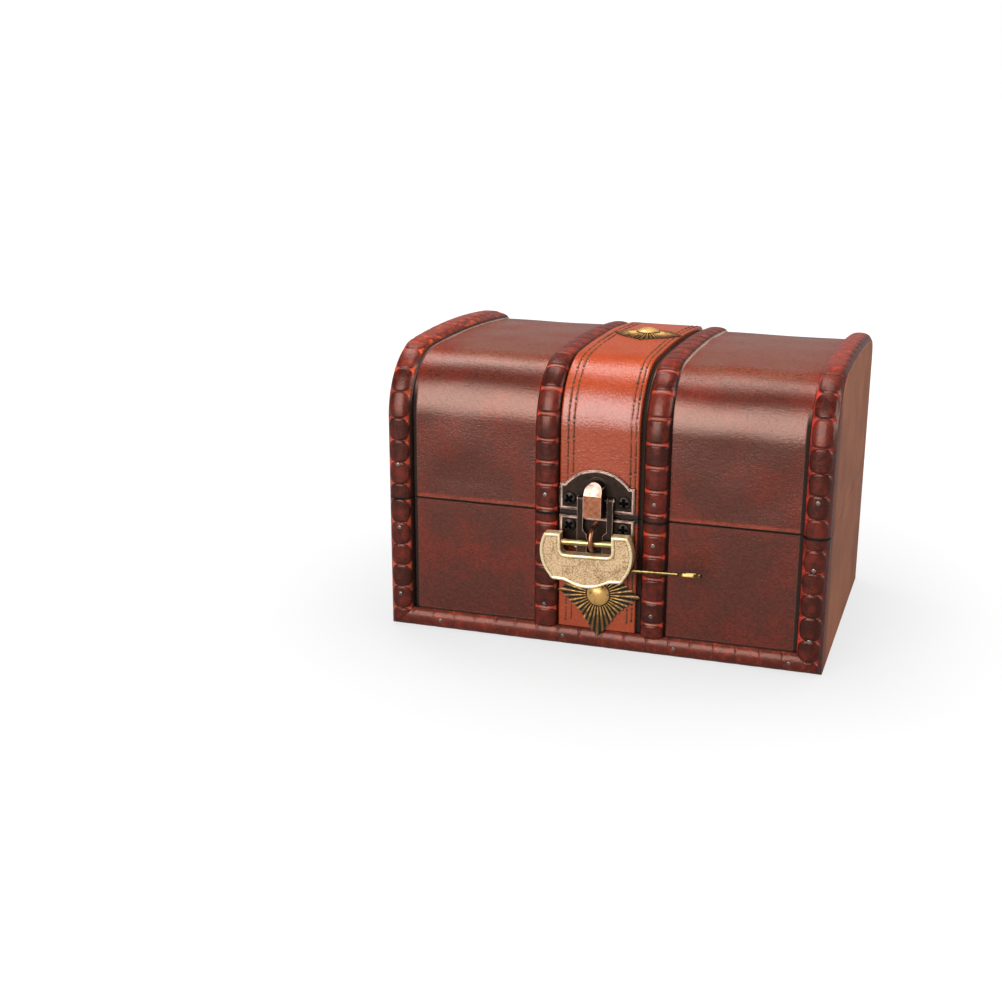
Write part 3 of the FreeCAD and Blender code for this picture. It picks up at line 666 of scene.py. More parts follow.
def thread(settings, run, start, end, row):
    """One stitch, thin at its ends."""
    t = np.linspace(0, 1, 11)
    swell = np.sin(math.pi * t) ** 0.5
    along = start + (end - start) * t
    lift = settings.thickness - STITCH_SINK + THREAD_BOW * swell
    turns = np.linspace(0, 2 * math.pi, 8, endpoint=False)
    radius = settings.thread_radius * (0.55 + 0.45 * swell)
    across = row + radius[:, None] * np.cos(turns)
    height = lift[:, None] + radius[:, None] * np.sin(turns)
    return loft(run.place(along[:, None], across, height))


def stitch_hole(settings, run, along, across, radius):
    """Low round button in the hole colour, painted shade that shows as a dark stitch hole."""
    turns = np.linspace(0, 2 * math.pi, 14, endpoint=False)
    base = settings.thickness - STITCH_SINK
    rings = []
    for size, height in HOLE_RINGS:
        ring_along = along + size * radius * np.sin(turns)
        ring_across = across + size * radius * np.cos(turns)
        rings.append(run.place(ring_along, ring_across, base + height * HOLE_RISE))
    return loft(rings)


# Studs, screws and rims

# Points for each rib, rings of the dome and of the blades, and the thinnest edge of a blade
RIB_STEPS = 10
DOME_RINGS = 12
BLADE_RINGS = 21
THIN_EDGE = 0.10 * MM


def oriented(shape, centre, across, along, out):
    """Brings a shape from its own axes to a place on the chest."""
    points, faces = shape
    points = np.asarray(points)
    base = np.array(centre)
    return base + points[:, :1] * across + points[:, 1:2] * along + points[:, 2:] * out, faces


def star_reach(turns, side, rise, waist):
    """Distance from the middle to the outline of a four-pointed star."""
    folded = np.abs((turns + math.pi / 2) % math.pi - math.pi / 2)
    tip_a = np.array([side, 0.0])
    tip_b = np.array([0.0, rise])
    hollow = (tip_a + tip_b) * waist / math.sqrt(2)
    ways = np.stack([np.cos(folded), np.sin(folded)], -1)

    def meet(start, end):
        edge = end - start
        normal = np.array([edge[1], -edge[0]])
        return (normal @ start) / (ways @ normal)

    hollow_turn = math.atan2(hollow[1], hollow[0])
    return np.where(folded < hollow_turn, meet(tip_a, hollow), meet(hollow, tip_b))


def star_shape(settings, side, rise, waist):
    """Ribbed star with a dome; its flutes and its tips are marked."""
    turns = np.linspace(0, 2 * math.pi, settings.ribs * RIB_STEPS, endpoint=False)
    rng = np.random.default_rng(STAR_SEED)
    number = np.floor(settings.ribs * turns / (2 * math.pi) + 0.5).astype(int) % settings.ribs
    bold = rng.uniform(0.7, 1.0, settings.ribs)[number]
    rib = bold * (0.5 + 0.5 * np.cos(settings.ribs * turns))
    reach = star_reach(turns, side, rise, waist) * (0.965 + 0.035 * rib)
    dome = settings.dome_radius
    flat = settings.edge + settings.slope
    cap = settings.dome_height - flat
    ball = (dome ** 2 + cap ** 2) / (2 * cap)
    rings, flutes, tips = [], [], []

    def add_ring(radius, height, flute, tip):
        height = height + np.zeros_like(turns)
        rings.append(np.stack([radius * np.cos(turns), radius * np.sin(turns), height], -1))
        flutes.append(flute + np.zeros_like(turns))
        tips.append(tip + np.zeros_like(turns))

    for level in np.linspace(0.02, 1.0, DOME_RINGS):
        height = flat + math.sqrt(ball ** 2 - (level * dome) ** 2) - ball + cap
        add_ring(level * dome, height, smooth_step(0.88, 1.0, level), 0.0)
    for level in np.linspace(0.0, 1.0, BLADE_RINGS + 1)[1:]:
        radius = dome + level * (reach - dome)
        sunk = settings.rib_depth * (1 - rib) * min(1.0, 0.45 + level * 2.5) * (1 - 0.55 * level)
        height = np.maximum(settings.edge + settings.slope * (1 - level) ** 1.3 - sunk, THIN_EDGE)
        add_ring(radius, height, 1 - rib, (radius - dome) / (0.75 * side))
    add_ring(reach, 0.0, 1.0, 1.0)
    return loft(rings), {"flute": np.concatenate(flutes), "tip": np.concatenate(tips)}


def screw_head(radius, height, settings, turn):
    """Low domed head with a cross recess, and how far each point lies in the recess."""
    levels = np.concatenate([np.linspace(0.02, 0.9, 26), [0.95, 0.985, 1.0]])
    turns = np.linspace(0, 2 * math.pi, 72, endpoint=False)
    level = levels[:, None] * np.ones_like(turns)
    x = radius * level * np.cos(turns)
    y = radius * level * np.sin(turns)
    along = np.abs(x * math.cos(turn) + y * math.sin(turn))
    aside = np.abs(y * math.cos(turn) - x * math.sin(turn))
    arm = settings.cross_half * radius
    tip = settings.cross_reach * radius
    slots = []
    for a, b in ((along, aside), (aside, along)):
        in_width = 1 - smooth_step(arm * 0.75, arm * 1.25, a)
        slots.append(in_width * (1 - smooth_step(tip * 0.8, tip, b)))
    recess = np.maximum(*slots)
    dome = height * (1 - 0.30 * level ** 2) * np.sqrt((1.06 - level ** 8) / 1.06)
    rings = np.stack([x, y, np.maximum(dome - 0.75 * height * recess, 0.12 * height)], -1)
    foot = rings[-1:] * (1, 1, 0)
    return loft(np.concatenate([rings, foot])), np.concatenate([recess, recess[-1:]]).ravel()


def flat_outline(node, way):
    """Outline, round its normal, of the largest flat that faces the front (way -1) or the back (way 1)."""
    work = welded(node)
    facing = [face for face in work.faces if face.normal.y * way > 0.99]
    depths = np.array([face.calc_center_median().y for face in facing])
    areas = np.array([face.calc_area() for face in facing])
    alike = np.abs(depths[:, None] - depths[None, :]) < SAME_DEPTH
    flat = [facing[i] for i in np.flatnonzero(alike[np.argmax(alike @ areas)])]
    sides = set()
    for face in flat:
        corners = [tuple(round(part / MM, 4) for part in vertex.co) for vertex in face.verts]
        sides.update(zip(corners, corners[1:] + corners[:1]))
    work.free()
    following = {start: end for start, end in sides if (end, start) not in sides}
    outlines = []
    while following:
        at, outline = min(following), []
        while at in following:
            outline.append(at)
            at = following.pop(at)
        outlines.append(np.array(outline) * MM)
    return max(outlines, key=lambda outline: np.ptp(outline, axis=0).sum())


# Sections of a raised rim: place inward of the outline, of its width, height, of its own, and depth of shade
BORDER = (
    (0.03, -0.30, 0.3), (0.03, 0.35, 0.2), (0.14, 0.80, 0.0), (0.34, 1.0, 0.0), (0.60, 0.98, 0.0),
    (0.82, 0.70, 0.0), (0.95, 0.12, 0.6), (1.08, 0.05, 0.8), (1.10, -0.30, 0.8),
)
RUBBED_RIM = ((0.30, -1.0, 0.0), (0.36, 0.6, 0.0), (0.55, 1.0, 0.0), (0.85, 0.8, 0.0), (1.0, -1.0, 0.0))


def rim(loop, out, width, height, section):
    """Raised rim along a flat outline, and its shade."""
    step = np.roll(loop, -1, axis=0) - loop
    step /= np.linalg.norm(step, axis=1)[:, None]
    inward = np.cross(out, step)
    before = np.roll(inward, 1, axis=0)
    mitre = inward + before
    mitre /= np.maximum((mitre * inward).sum(1), 0.5)[:, None]
    rings = np.stack([loop + mitre * (a * width) + out * (b * height) for a, b, _ in section], axis=1)
    shade = np.broadcast_to([c for _, _, c in section], rings.shape[:2])
    return loft(rings, endless=True), shade.ravel()


# Node trees

def feed(tree, socket, value):
    """Links a socket to another one, or sets its plain value; a colour gets its alpha."""
    if isinstance(value, bpy.types.NodeSocket):
        tree.links.new(value, socket)
    elif socket.type == "RGBA":
        socket.default_value = (*value[:3], 1.0)
    else:
        socket.default_value = value


def put(tree, kind, inputs=None, **settings):
    """New node with its settings, its input values and its links."""
    node = tree.nodes.new("ShaderNode" + kind)
    for key, value in settings.items():
        setattr(node, key, value)
    for key, value in (inputs or {}).items():
        feed(tree, node.inputs[key], value)
    return node


def math_node(tree, operation, first, second=0.0, clamp=False):
    return put(tree, "Math", {0: first, 1: second}, operation=operation, use_clamp=clamp).outputs[0]


def plus(tree, first, second, clamp=False):
    return math_node(tree, "ADD", first, second, clamp)


def times(tree, first, second, clamp=False):
    return math_node(tree, "MULTIPLY", first, second, clamp)


def largest(tree, first, *others):
    for other in others:
        first = math_node(tree, "MAXIMUM", first, other)
    return first


def ramp(tree, value, low, high, to_low=0.0, to_high=1.0):
    inputs = {"Value": value, "From Min": low, "From Max": high, "To Min": to_low, "To Max": to_high}
    return put(tree, "MapRange", inputs).outputs["Result"]


def mixed(tree, factor, first, second):
    return put(tree, "Mix", {0: factor, 6: first, 7: second}, data_type="RGBA").outputs[2]


def mark(tree, name):
    return put(tree, "Attribute", attribute_name=name).outputs["Fac"]


def object_place(tree):
    return put(tree, "TexCoord").outputs["Object"]


def axis(tree, name):
    return put(tree, "SeparateXYZ", {0: object_place(tree)}).outputs[name]


def noise(tree, place, scale, detail, roughness=0.5):
    inputs = {"Vector": place, "Scale": scale, "Detail": detail, "Roughness": roughness}
    return put(tree, "TexNoise", inputs).outputs["Fac"]


def scaled(tone, by):
    """A colour made darker or lighter."""
    return [min(1.0, by * part) for part in tone]


# Shared effects

CLOUD_SOFTNESS = 0.14


def fill_grain(tree, source):
    """Fine grain: noise stretched along an axis, as a value about one half."""
    place = put(tree, "VectorMath", {0: object_place(tree), 1: source["Stretch"]}, operation="MULTIPLY")
    return {"Value": noise(tree, place.outputs[0], source["Scale"], source["Detail"], 0.62)}


def fill_clouds(tree, source):
    """Cloudy change from one colour to another."""
    level = noise(tree, object_place(tree), source["Scale"], 5.0, 0.6)
    low = math_node(tree, "SUBTRACT", source["Balance"], CLOUD_SOFTNESS)
    high = plus(tree, source["Balance"], CLOUD_SOFTNESS)
    return {"Color": mixed(tree, ramp(tree, level, low, high), source["First"], source["Second"])}


def fill_wear(tree, source):
    """Edges rubbed to another colour, broken up by noise; reads the mark edge."""
    level = noise(tree, object_place(tree), source["Scale"], 4.0)
    worn = times(tree, mark(tree, "edge"), ramp(tree, level, 0.24, 0.52))
    mask = times(tree, worn, source["Amount"], clamp=True)
    return {"Color": mixed(tree, mask, source["Face"], source["Edge"]), "Mask": mask}


# For each node group: what fills it, its inputs in order and its outputs
EFFECTS = {
    "Fine Grain": (
        fill_grain,
        {"Scale": "Float", "Stretch": "Vector", "Detail": "Float"},
        {"Value": "Float"},
    ),
    "Cloudy Colour": (
        fill_clouds,
        {"First": "Color", "Second": "Color", "Scale": "Float", "Balance": "Float"},
        {"Color": "Color"},
    ),
    "Worn Edges": (
        fill_wear,
        {"Face": "Color", "Edge": "Color", "Amount": "Float", "Scale": "Float"},
        {"Color": "Color", "Mask": "Float"},
    ),
}


def build_effect(name):
    """Node group of a shared effect."""
    fill, inputs, outputs = EFFECTS[name]
    tree = bpy.data.node_groups.new(name, "ShaderNodeTree")
    for in_out, sockets in (("INPUT", inputs), ("OUTPUT", outputs)):
        for socket_name, kind in sockets.items():
            tree.interface.new_socket(name=socket_name, in_out=in_out, socket_type="NodeSocket" + kind)
    found = fill(tree, tree.nodes.new("NodeGroupInput").outputs)
    sink = tree.nodes.new("NodeGroupOutput")
    for socket_name, value in found.items():
        tree.links.new(value, sink.inputs[socket_name])
    return tree


def effect(tree, name, *values):
    """Places a shared effect in a material with its own values, in the order of its inputs."""
    group = bpy.data.node_groups.get(name) or build_effect(name)
    inputs = EFFECTS[name][1]
    return put(tree, "Group", dict(zip(inputs, values)), node_tree=group).outputs


def grain(tree, scale, detail, stretch=(1.0, 1.0, 1.0)):
    return effect(tree, "Fine Grain", scale, stretch, detail)["Value"]


def clouds(tree, first, second, scale, balance):
    return effect(tree, "Cloudy Colour", first, second, scale, balance)["Color"]


def worn_edges(tree, face, edge, amount, scale):
    return effect(tree, "Worn Edges", face, edge, amount, scale)


def new_finish(name, **values):
    """Material with one Principled shader and its even values."""
    finish = bpy.data.materials.new(name)
    finish.use_nodes = True
    tree = finish.node_tree
    shader = tree.nodes["Principled BSDF"]
    for key, value in values.items():
        feed(tree, shader.inputs[key.replace("_", " ")], value)
    return finish, tree, shader


def attach(tree, shader, tone, roughness, height, strength, distance):
    """Links the changing colour, roughness and relief to the shader."""
    bump = put(tree, "Bump", {"Height": height, "Strength": strength, "Distance": distance})
    tree.links.new(tone, shader.inputs["Base Color"])
    tree.links.new(roughness, shader.inputs["Roughness"])
    tree.links.new(bump.outputs["Normal"], shader.inputs["Normal"])


# Finishes

def between(tree, value, low, high, soft):
    """One between two limits, with soft ends."""
    rise = ramp(tree, value, low - soft, low + soft)
    return times(tree, rise, ramp(tree, value, high - soft, high + soft, 1.0, 0.0))


def joint_distance(tree):
    """Distance up or down from the joint between lid and base."""
    return math_node(tree, "ABSOLUTE", math_node(tree, "SUBTRACT", axis(tree, "Z"), joint_z))


def panel_wood():
    """Stain that is dark in the middle of a panel, red towards its sides and lighter on the crown, partly as
    painted light from above; black at the joint, with painted shade in the gaps beside the trim and the
    strap.
    """
    settings = bpy.context.scene.chest_wood
    finish, tree, shader = new_finish(
        "stained panel wood", Specular_IOR_Level=0.85, Specular_Tint=(1.0, 0.66, 0.54)
    )
    fine = grain(tree, 2300.0, 3.0, (0.65, 1.0, 1.0))
    place = object_place(tree)
    where = put(tree, "SeparateXYZ", {0: place}).outputs
    on_crown = ramp(tree, where["Z"], lid_top - 11 * MM, lid_top - 6 * MM)
    # Lighter on the crown, partly stain and partly painted light from above
    on_top = ramp(tree, where["Z"], lid_top - 3.0 * MM, lid_top - 1.2 * MM)
    dark = mixed(tree, on_top, settings.dark, settings.crown_stain_and_light)
    cloudy = clouds(tree, dark, settings.red, 60.0, 0.62)
    aside = math_node(tree, "ABSOLUTE", where["X"])
    band_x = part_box("base_right_band")[1].x
    strip_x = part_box("base_right_strip")[0].x
    from_joint = joint_distance(tree)
    by_band = ramp(tree, aside, band_x, band_x + 4 * MM, 1.0, 0.0)
    by_strip = ramp(tree, aside, strip_x - 7 * MM, strip_x)
    by_joint = ramp(tree, from_joint, 0.5 * MM, 2.2 * MM, 1.0, 0.0)
    near = largest(tree, by_band, by_strip, by_joint)
    broken = ramp(tree, noise(tree, place, 170.0, 5.0, 0.6), 0.34, 0.72, 0.0, 0.8)
    stain = mixed(tree, times(tree, near, broken), cloudy, settings.red)
    worn = worn_edges(tree, stain, settings.edge, 0.6, 260.0)["Color"]
    # Painted shade: black in the gap beside the trim below the crown and in the gap beside the strap, on the
    # outer faces
    trim_gap_shade = ramp(tree, aside, strip_x - 1.3 * MM, strip_x - 0.7 * MM)
    shaded = times(tree, trim_gap_shade, math_node(tree, "SUBTRACT", 1.0, on_crown))
    dark_joint = ramp(tree, from_joint, 0.25 * MM, 0.55 * MM, 1.0, 0.0)
    strap_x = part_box("base_strap")[1].x
    strap_gap_shade = between(tree, where["X"], strap_x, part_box("base_right_band")[0].x, 0.1 * MM)
    joint_and_shade = times(tree, largest(tree, shaded, dark_joint, strap_gap_shade), mark(tree, "outside"))
    joint_and_shade_painted = mixed(tree, joint_and_shade, worn, JOINT_AND_SHADE_BLACK)
    fleck = ramp(tree, fine, 0.34, 0.66, 0.58, 1.42)
    flecked = put(tree, "Mix", {0: 1.0, 6: joint_and_shade_painted, 7: fleck}, data_type="RGBA", blend_type="MULTIPLY")
    rough = largest(tree, ramp(tree, fine, 0.3, 0.7, 0.27, 0.19), joint_and_shade)
    attach(tree, shader, flecked.outputs[2], rough, fine, 0.6, 0.13 * MM)
    return finish


def end_wood():
    """Lighter brown of the end panels, with upright streaks."""
    settings = bpy.context.scene.chest_wood
    finish, tree, shader = new_finish("stained end wood", Specular_IOR_Level=0.15)
    streak = grain(tree, 420.0, 6.0, (1.0, 1.0, 0.16))
    fine = grain(tree, 1700.0, 4.0, (1.0, 1.0, 0.6))
    cloudy = clouds(tree, settings.end_dark, settings.end_light, 48.0, 0.45)
    streaked = mixed(tree, ramp(tree, streak, 0.35, 0.75, 0.0, 0.55), cloudy, settings.end_dark)
    # Darker towards the front edge, broken by the streaks
    by_front = ramp(tree, axis(tree, "Y"), front_y, front_y + 9 * MM, 1.1, 0.0)
    darkening = times(tree, by_front, ramp(tree, streak, 0.3, 0.7, 1.0, 0.55))
    shaded = mixed(tree, darkening, streaked, settings.dark)
    worn = worn_edges(tree, shaded, settings.edge, 0.55, 200.0)["Color"]
    rough = ramp(tree, fine, 0.3, 0.7, 0.58, 0.46)
    attach(tree, shader, worn, rough, plus(tree, fine, streak), 0.25, 0.14 * MM)
    return finish


def bead_wood(name, hollow, outer_shade_share=0.0, crown_share=0.9):
    """Dark beads with bright cuts, redder on the crown, with a painted highlight line in the cuts and painted
    shade, black, along the flanks.
    """
    settings = bpy.context.scene.chest_trim
    finish, tree, shader = new_finish(name, Specular_Tint=(1.0, 0.62, 0.52))
    fine = grain(tree, 1500.0, 3.0)
    patches = grain(tree, 420.0, 5.0)
    worn = plus(tree, patches, ramp(tree, mark(tree, "rub"), 0.0, 1.0, -0.14, 0.10))
    bead = mixed(tree, ramp(tree, worn, 0.38, 0.66), settings.bead, settings.rub)
    mottled = mixed(tree, ramp(tree, patches, 0.54, 0.64, 0.0, 0.8), settings.crown, hollow)
    body = mixed(tree, times(tree, mark(tree, "crown"), crown_share), bead, mottled)
    uneven = plus(tree, mark(tree, "hollow"), ramp(tree, patches, 0.3, 0.7, -0.22, 0.16))
    stained = mixed(tree, ramp(tree, patches, 0.40, 0.60), settings.rub, hollow)
    # The middle of each cut takes the line colour, a painted highlight; its sides take the bare stain of the
    # hollow
    bare = mixed(tree, mark(tree, "side"), settings.line, stained)
    outlined = mixed(tree, ramp(tree, uneven, 0.10, 0.28, 0.0, 0.6), body, settings.bead)
    cut = mixed(tree, ramp(tree, uneven, 0.34, 0.74), outlined, bare)
    # Painted shade on the outer flank of the right strips
    flank_shaded = mixed(tree, times(tree, mark(tree, "outer"), outer_shade_share), cut, settings.flank)
    # Painted shade: black along the foot of the trim
    foot_shade_mask = times(tree, mark(tree, "foot"), ramp(tree, patches, 0.25, 0.6, 0.8, 1.1), clamp=True)
    foot_shaded = mixed(tree, foot_shade_mask, flank_shaded, settings.foot_shade)
    lined = mixed(tree, times(tree, mark(tree, "pale"), 0.9), foot_shaded, settings.pale)
    attach(tree, shader, lined, ramp(tree, fine, 0.3, 0.7, 0.38, 0.24), fine, 0.5, 0.14 * MM)
    return finish


def strap_leather():
    """Smooth tanned leather with a pebbled grain and fine cross wrinkles."""
    settings = bpy.context.scene.chest_strap
    finish, tree, shader = new_finish("strap leather", Specular_IOR_Level=0.65)
    pebble_inputs = {"Vector": object_place(tree), "Scale": 1100.0}
    pebble = put(tree, "TexVoronoi", pebble_inputs, feature="DISTANCE_TO_EDGE")
    pebbles = ramp(tree, pebble.outputs["Distance"], 0.0, 0.25)
    wrinkle = grain(tree, 1300.0, 3.0, (0.75, 1.0, 1.0))
    cloudy = clouds(tree, settings.leather_dark, settings.leather, 70.0, 0.42)
    height = plus(tree, times(tree, pebbles, 0.35), wrinkle)
    # Painted shade: within about 2 mm of the joint the leather takes the dark hole colour and goes matt
    darkening = ramp(tree, joint_distance(tree), 0.9 * MM, 2.0 * MM, 0.97, 0.0)
    joint_shaded = mixed(tree, darkening, cloudy, settings.hole)
    rough = largest(tree, ramp(tree, wrinkle, 0.3, 0.7, 0.32, 0.22), darkening)
    attach(tree, shader, joint_shaded, rough, height, 0.5, 0.13 * MM)
    return finish


def plain_finish(name, first, second, scale, roughness, metallic=0.0, relief=0.2):
    """Two-tone finish with a fine relief, for small pieces."""
    finish, tree, shader = new_finish(name, Metallic=metallic)
    fine = grain(tree, 1800.0, 4.0)
    rough = ramp(tree, fine, 0.3, 0.7, roughness + 0.07, roughness - 0.07)
    attach(tree, shader, clouds(tree, first, second, scale, 0.5), rough, fine, relief, 0.06 * MM)
    return finish


def plain_metal(name, tone, shade, scale, roughness, relief=0.2):
    """Bare metal with clouds of a darker shade."""
    return plain_finish(name, scaled(tone, shade), tone, scale, roughness, 1.0, relief)


def worn_metal(name, face, edge, roughness, wear, proud=None):
    """Plated metal whose edges are rubbed bright, and what stands proud of a plane as well."""
    finish, tree, shader = new_finish(name)
    tone = clouds(tree, scaled(face, 0.62), face, 700.0, 0.46)
    if proud:
        front, copper = proud
        rubbed = clouds(tree, scaled(copper, 0.5), copper, 900.0, 0.46)
        tone = mixed(tree, ramp(tree, axis(tree, "Y"), front, front + 0.8 * MM, 1.0, 0.0), tone, rubbed)
    worn = worn_edges(tree, tone, edge, wear, 420.0)
    fine = grain(tree, 2200.0, 4.0)
    dull = ramp(tree, fine, 0.3, 0.7, roughness + 0.10, roughness - 0.05)
    rough = plus(tree, dull, ramp(tree, worn["Mask"], 0.0, 1.0, 0.0, -0.10))
    attach(tree, shader, worn["Color"], rough, fine, 0.25, 0.05 * MM)
    tree.links.new(ramp(tree, worn["Mask"], 0.0, 1.0, 1.0, 0.35), shader.inputs["Metallic"])
    return finish


def screw_metal(name, face):
    """Dull screw, black in its recess as painted shade."""
    finish, tree, shader = new_finish(name, Metallic=1.0)
    fine = grain(tree, 1800.0, 4.0)
    cloudy = clouds(tree, scaled(face, 0.5), face, 900.0, 0.45)
    tone = mixed(tree, ramp(tree, mark(tree, "recess"), 0.2, 0.7), cloudy, RECESS_SHADE_BLACK)
    attach(tree, shader, tone, ramp(tree, fine, 0.3, 0.7, 0.58, 0.46), fine, 0.2, 0.05 * MM)
    return finish


def stud_brass():
    """Antique brass, dark in the flutes."""
    settings = bpy.context.scene.chest_stud
    finish, tree, shader = new_finish("stud brass", Metallic=0.6)
    patches = grain(tree, 640.0, 4.0)
    depth = plus(tree, mark(tree, "flute"), ramp(tree, patches, 0.3, 0.7, -0.18, 0.18), clamp=True)
    dark = ramp(tree, depth, 0.28, 0.78)
    dull = math_node(tree, "SUBTRACT", patches, ramp(tree, mark(tree, "tip"), 0.05, 0.70, -0.05, 0.30))
    rubbed = mixed(tree, ramp(tree, dull, 0.32, 0.54), settings.brown, settings.brass)
    tone = mixed(tree, dark, rubbed, settings.flute)
    attach(tree, shader, tone, ramp(tree, dark, 0.0, 1.0, 0.34, 0.6), patches, 0.4, 0.10 * MM)
    return finish


def padlock_face():
    """Fine mottled cast face."""
    settings = bpy.context.scene.chest_padlock
    finish, tree, shader = new_finish("padlock face brass", Metallic=0.55)
    fine = grain(tree, 2200.0, 3.0)
    broad = grain(tree, 380.0, 3.0)
    level = plus(tree, fine, ramp(tree, broad, 0.3, 0.7, -0.10, 0.10))
    tone = mixed(tree, ramp(tree, level, 0.32, 0.58), settings.brown, settings.pale)
    worn = worn_edges(tree, tone, settings.border, 1.0, 300.0)["Color"]
    attach(tree, shader, worn, ramp(tree, level, 0.35, 0.6, 0.56, 0.40), fine, 0.45, 0.10 * MM)
    return finish


def border_brass():
    """Bright raised border with a dark line of painted shade along its inner foot."""
    settings = bpy.context.scene.chest_padlock
    finish, tree, shader = new_finish("padlock border brass", Metallic=0.45)
    fine = grain(tree, 1200.0, 3.0)
    depth = plus(tree, mark(tree, "groove"), ramp(tree, fine, 0.3, 0.7, -0.12, 0.12), clamp=True)
    tone = mixed(tree, ramp(tree, depth, 0.35, 0.75), settings.border, settings.foot_shade)
    attach(tree, shader, tone, ramp(tree, fine, 0.3, 0.7, 0.30, 0.22), fine, 0.15, 0.05 * MM)
    return finish


# Stage

FRAME_WIDTH = 36.0
FLOOR_REACH = 3.0
FLOOR_GAP = 0.02 * MM


def aim(name, watts, place, target, width, height, roll=0.0):
    """Soft box at a place that faces a target, rolled about its own axis."""
    lamp = bpy.data.lights.new(name, "AREA")
    lamp.energy = watts
    lamp.shape = "RECTANGLE"
    lamp.size = width
    lamp.size_y = height
    holder = bpy.data.objects.new(name, lamp)
    holder.location = place
    turn = (Vector(target) - Vector(place)).to_track_quat("-Z", "Y").to_matrix()
    holder.rotation_euler = (turn @ Matrix.Rotation(roll, 3, "Z")).to_euler()
    bpy.context.scene.collection.objects.link(holder)
    return holder


class CHEST_OT_stage(Operator):
    """Camera, lamps, world and floor"""
    bl_idname = "chest.stage"
    bl_label = "Stage"

    def execute(self, context):
        settings = context.scene.chest_stage
        self.camera(context, settings)
        target = (0.0, 0.0, 0.05)
        aim("front soft box", settings.front_lamp, (-0.20, -0.75, 0.42), target, 0.60, 0.68)
        aim("low soft box", settings.low_lamp, (-0.21, -0.82, 0.08), target, 0.60, 0.13)
        aim("top strip box", settings.top_lamp, (-0.23, 0.21, 0.92), target, 0.90, 0.22, settings.top_roll)
        aim("right soft box", settings.side_lamp, (0.95, 0.10, 0.35), target, 0.60, 0.60)
        ceiling = aim("ceiling light", settings.ceiling_lamp, (0.0, 0.12, 1.05), target, 0.80, 0.80)
        ceiling.visible_glossy = False
        self.world(context, settings)
        self.floor(context, settings)
        context.scene.view_settings.view_transform = "Standard"
        return {"FINISHED"}

    def camera(self, context, settings):
        lens = bpy.data.cameras.new("camera")
        lens.lens = settings.lens
        lens.sensor_width = FRAME_WIDTH
        lens.shift_y = settings.shift
        lens.clip_start = 0.01
        holder = bpy.data.objects.new("camera", lens)
        turn, tilt = settings.azimuth, settings.elevation
        back = Vector((math.sin(turn) * math.cos(tilt), -math.cos(turn) * math.cos(tilt), math.sin(tilt)))
        right = Vector((math.cos(turn), math.sin(turn), 0.0))
        up = back.cross(right)
        rotation = Matrix((right, up, back)).transposed()
        holder.matrix_world = Matrix.Translation(settings.place) @ rotation.to_4x4()
        context.scene.collection.objects.link(holder)
        context.scene.camera = holder

    def world(self, context, settings):
        """White for the camera, a studio that darkens to its ceiling for gloss, even fill for the rest."""
        world = bpy.data.worlds.new("studio")
        world.use_nodes = True
        context.scene.world = world
        tree = world.node_tree
        path = put(tree, "LightPath").outputs
        direction = put(tree, "TexCoord").outputs["Generated"]
        up = put(tree, "SeparateXYZ", {0: direction}).outputs["Z"]
        studio = ramp(tree, up, 0.10, 0.60, 0.30, 0.04)
        for_gloss = put(tree, "Mix", {0: path["Is Glossy Ray"], 2: settings.fill, 3: studio}).outputs[0]
        seen = largest(tree, path["Is Camera Ray"], path["Is Transmission Ray"])
        level = put(tree, "Mix", {0: seen, 2: for_gloss, 3: 1.0}).outputs[0]
        background = tree.nodes["Background"].inputs
        feed(tree, background["Strength"], level)
        feed(tree, background["Color"], WHITE)

    def floor(self, context, settings):
        """Pale floor that keeps the shadow near the chest and runs out to white."""
        reach = FLOOR_REACH
        mesh = bpy.data.meshes.new("floor")
        corners = [(-reach, -reach, 0), (reach, -reach, 0), (reach, reach, 0), (-reach, reach, 0)]
        mesh.from_pydata(corners, [], [(0, 1, 2, 3)])
        floor = bpy.data.objects.new("floor", mesh)
        floor.location.z = -FLOOR_GAP
        context.scene.collection.objects.link(floor)
        finish, tree, shader = new_finish(
            "studio floor", Base_Color=settings.floor, Emission_Color=WHITE,
            Roughness=0.9, Specular_IOR_Level=0.1,
        )
        path = put(tree, "LightPath").outputs
        far = put(tree, "VectorMath", {0: object_place(tree)}, operation="LENGTH").outputs["Value"]
        # The floor glows less out to about 0.2 m from the chest, a painted darkening round it that lets its
        # real shadow show
        lift = ramp(tree, far, 0.06, 0.20, 0.72, 1.0)
        in_gloss = times(tree, path["Is Glossy Ray"], settings.floor_gloss)
        seen = largest(tree, path["Is Camera Ray"], path["Is Transmission Ray"], in_gloss)
        tree.links.new(times(tree, lift, seen), shader.inputs["Emission Strength"])
        mesh.materials.append(finish)


# Pieces

def dress(node, finish):
    """Gives a finish to a solid that is shown as it is."""
    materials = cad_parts[node].data.materials
    materials.clear()
    materials.append(finish)


# Rows and columns of the bent sheet, size of its waves, and the distance from its foot where they ease off
# and where it is rubbed
SKIN_ROWS = 190
SKIN_COLUMNS = 111
DENT_SIZE = 26 * MM
DENT_EASE = 6 * MM
RUBBED_FOOT = 0.9 * MM


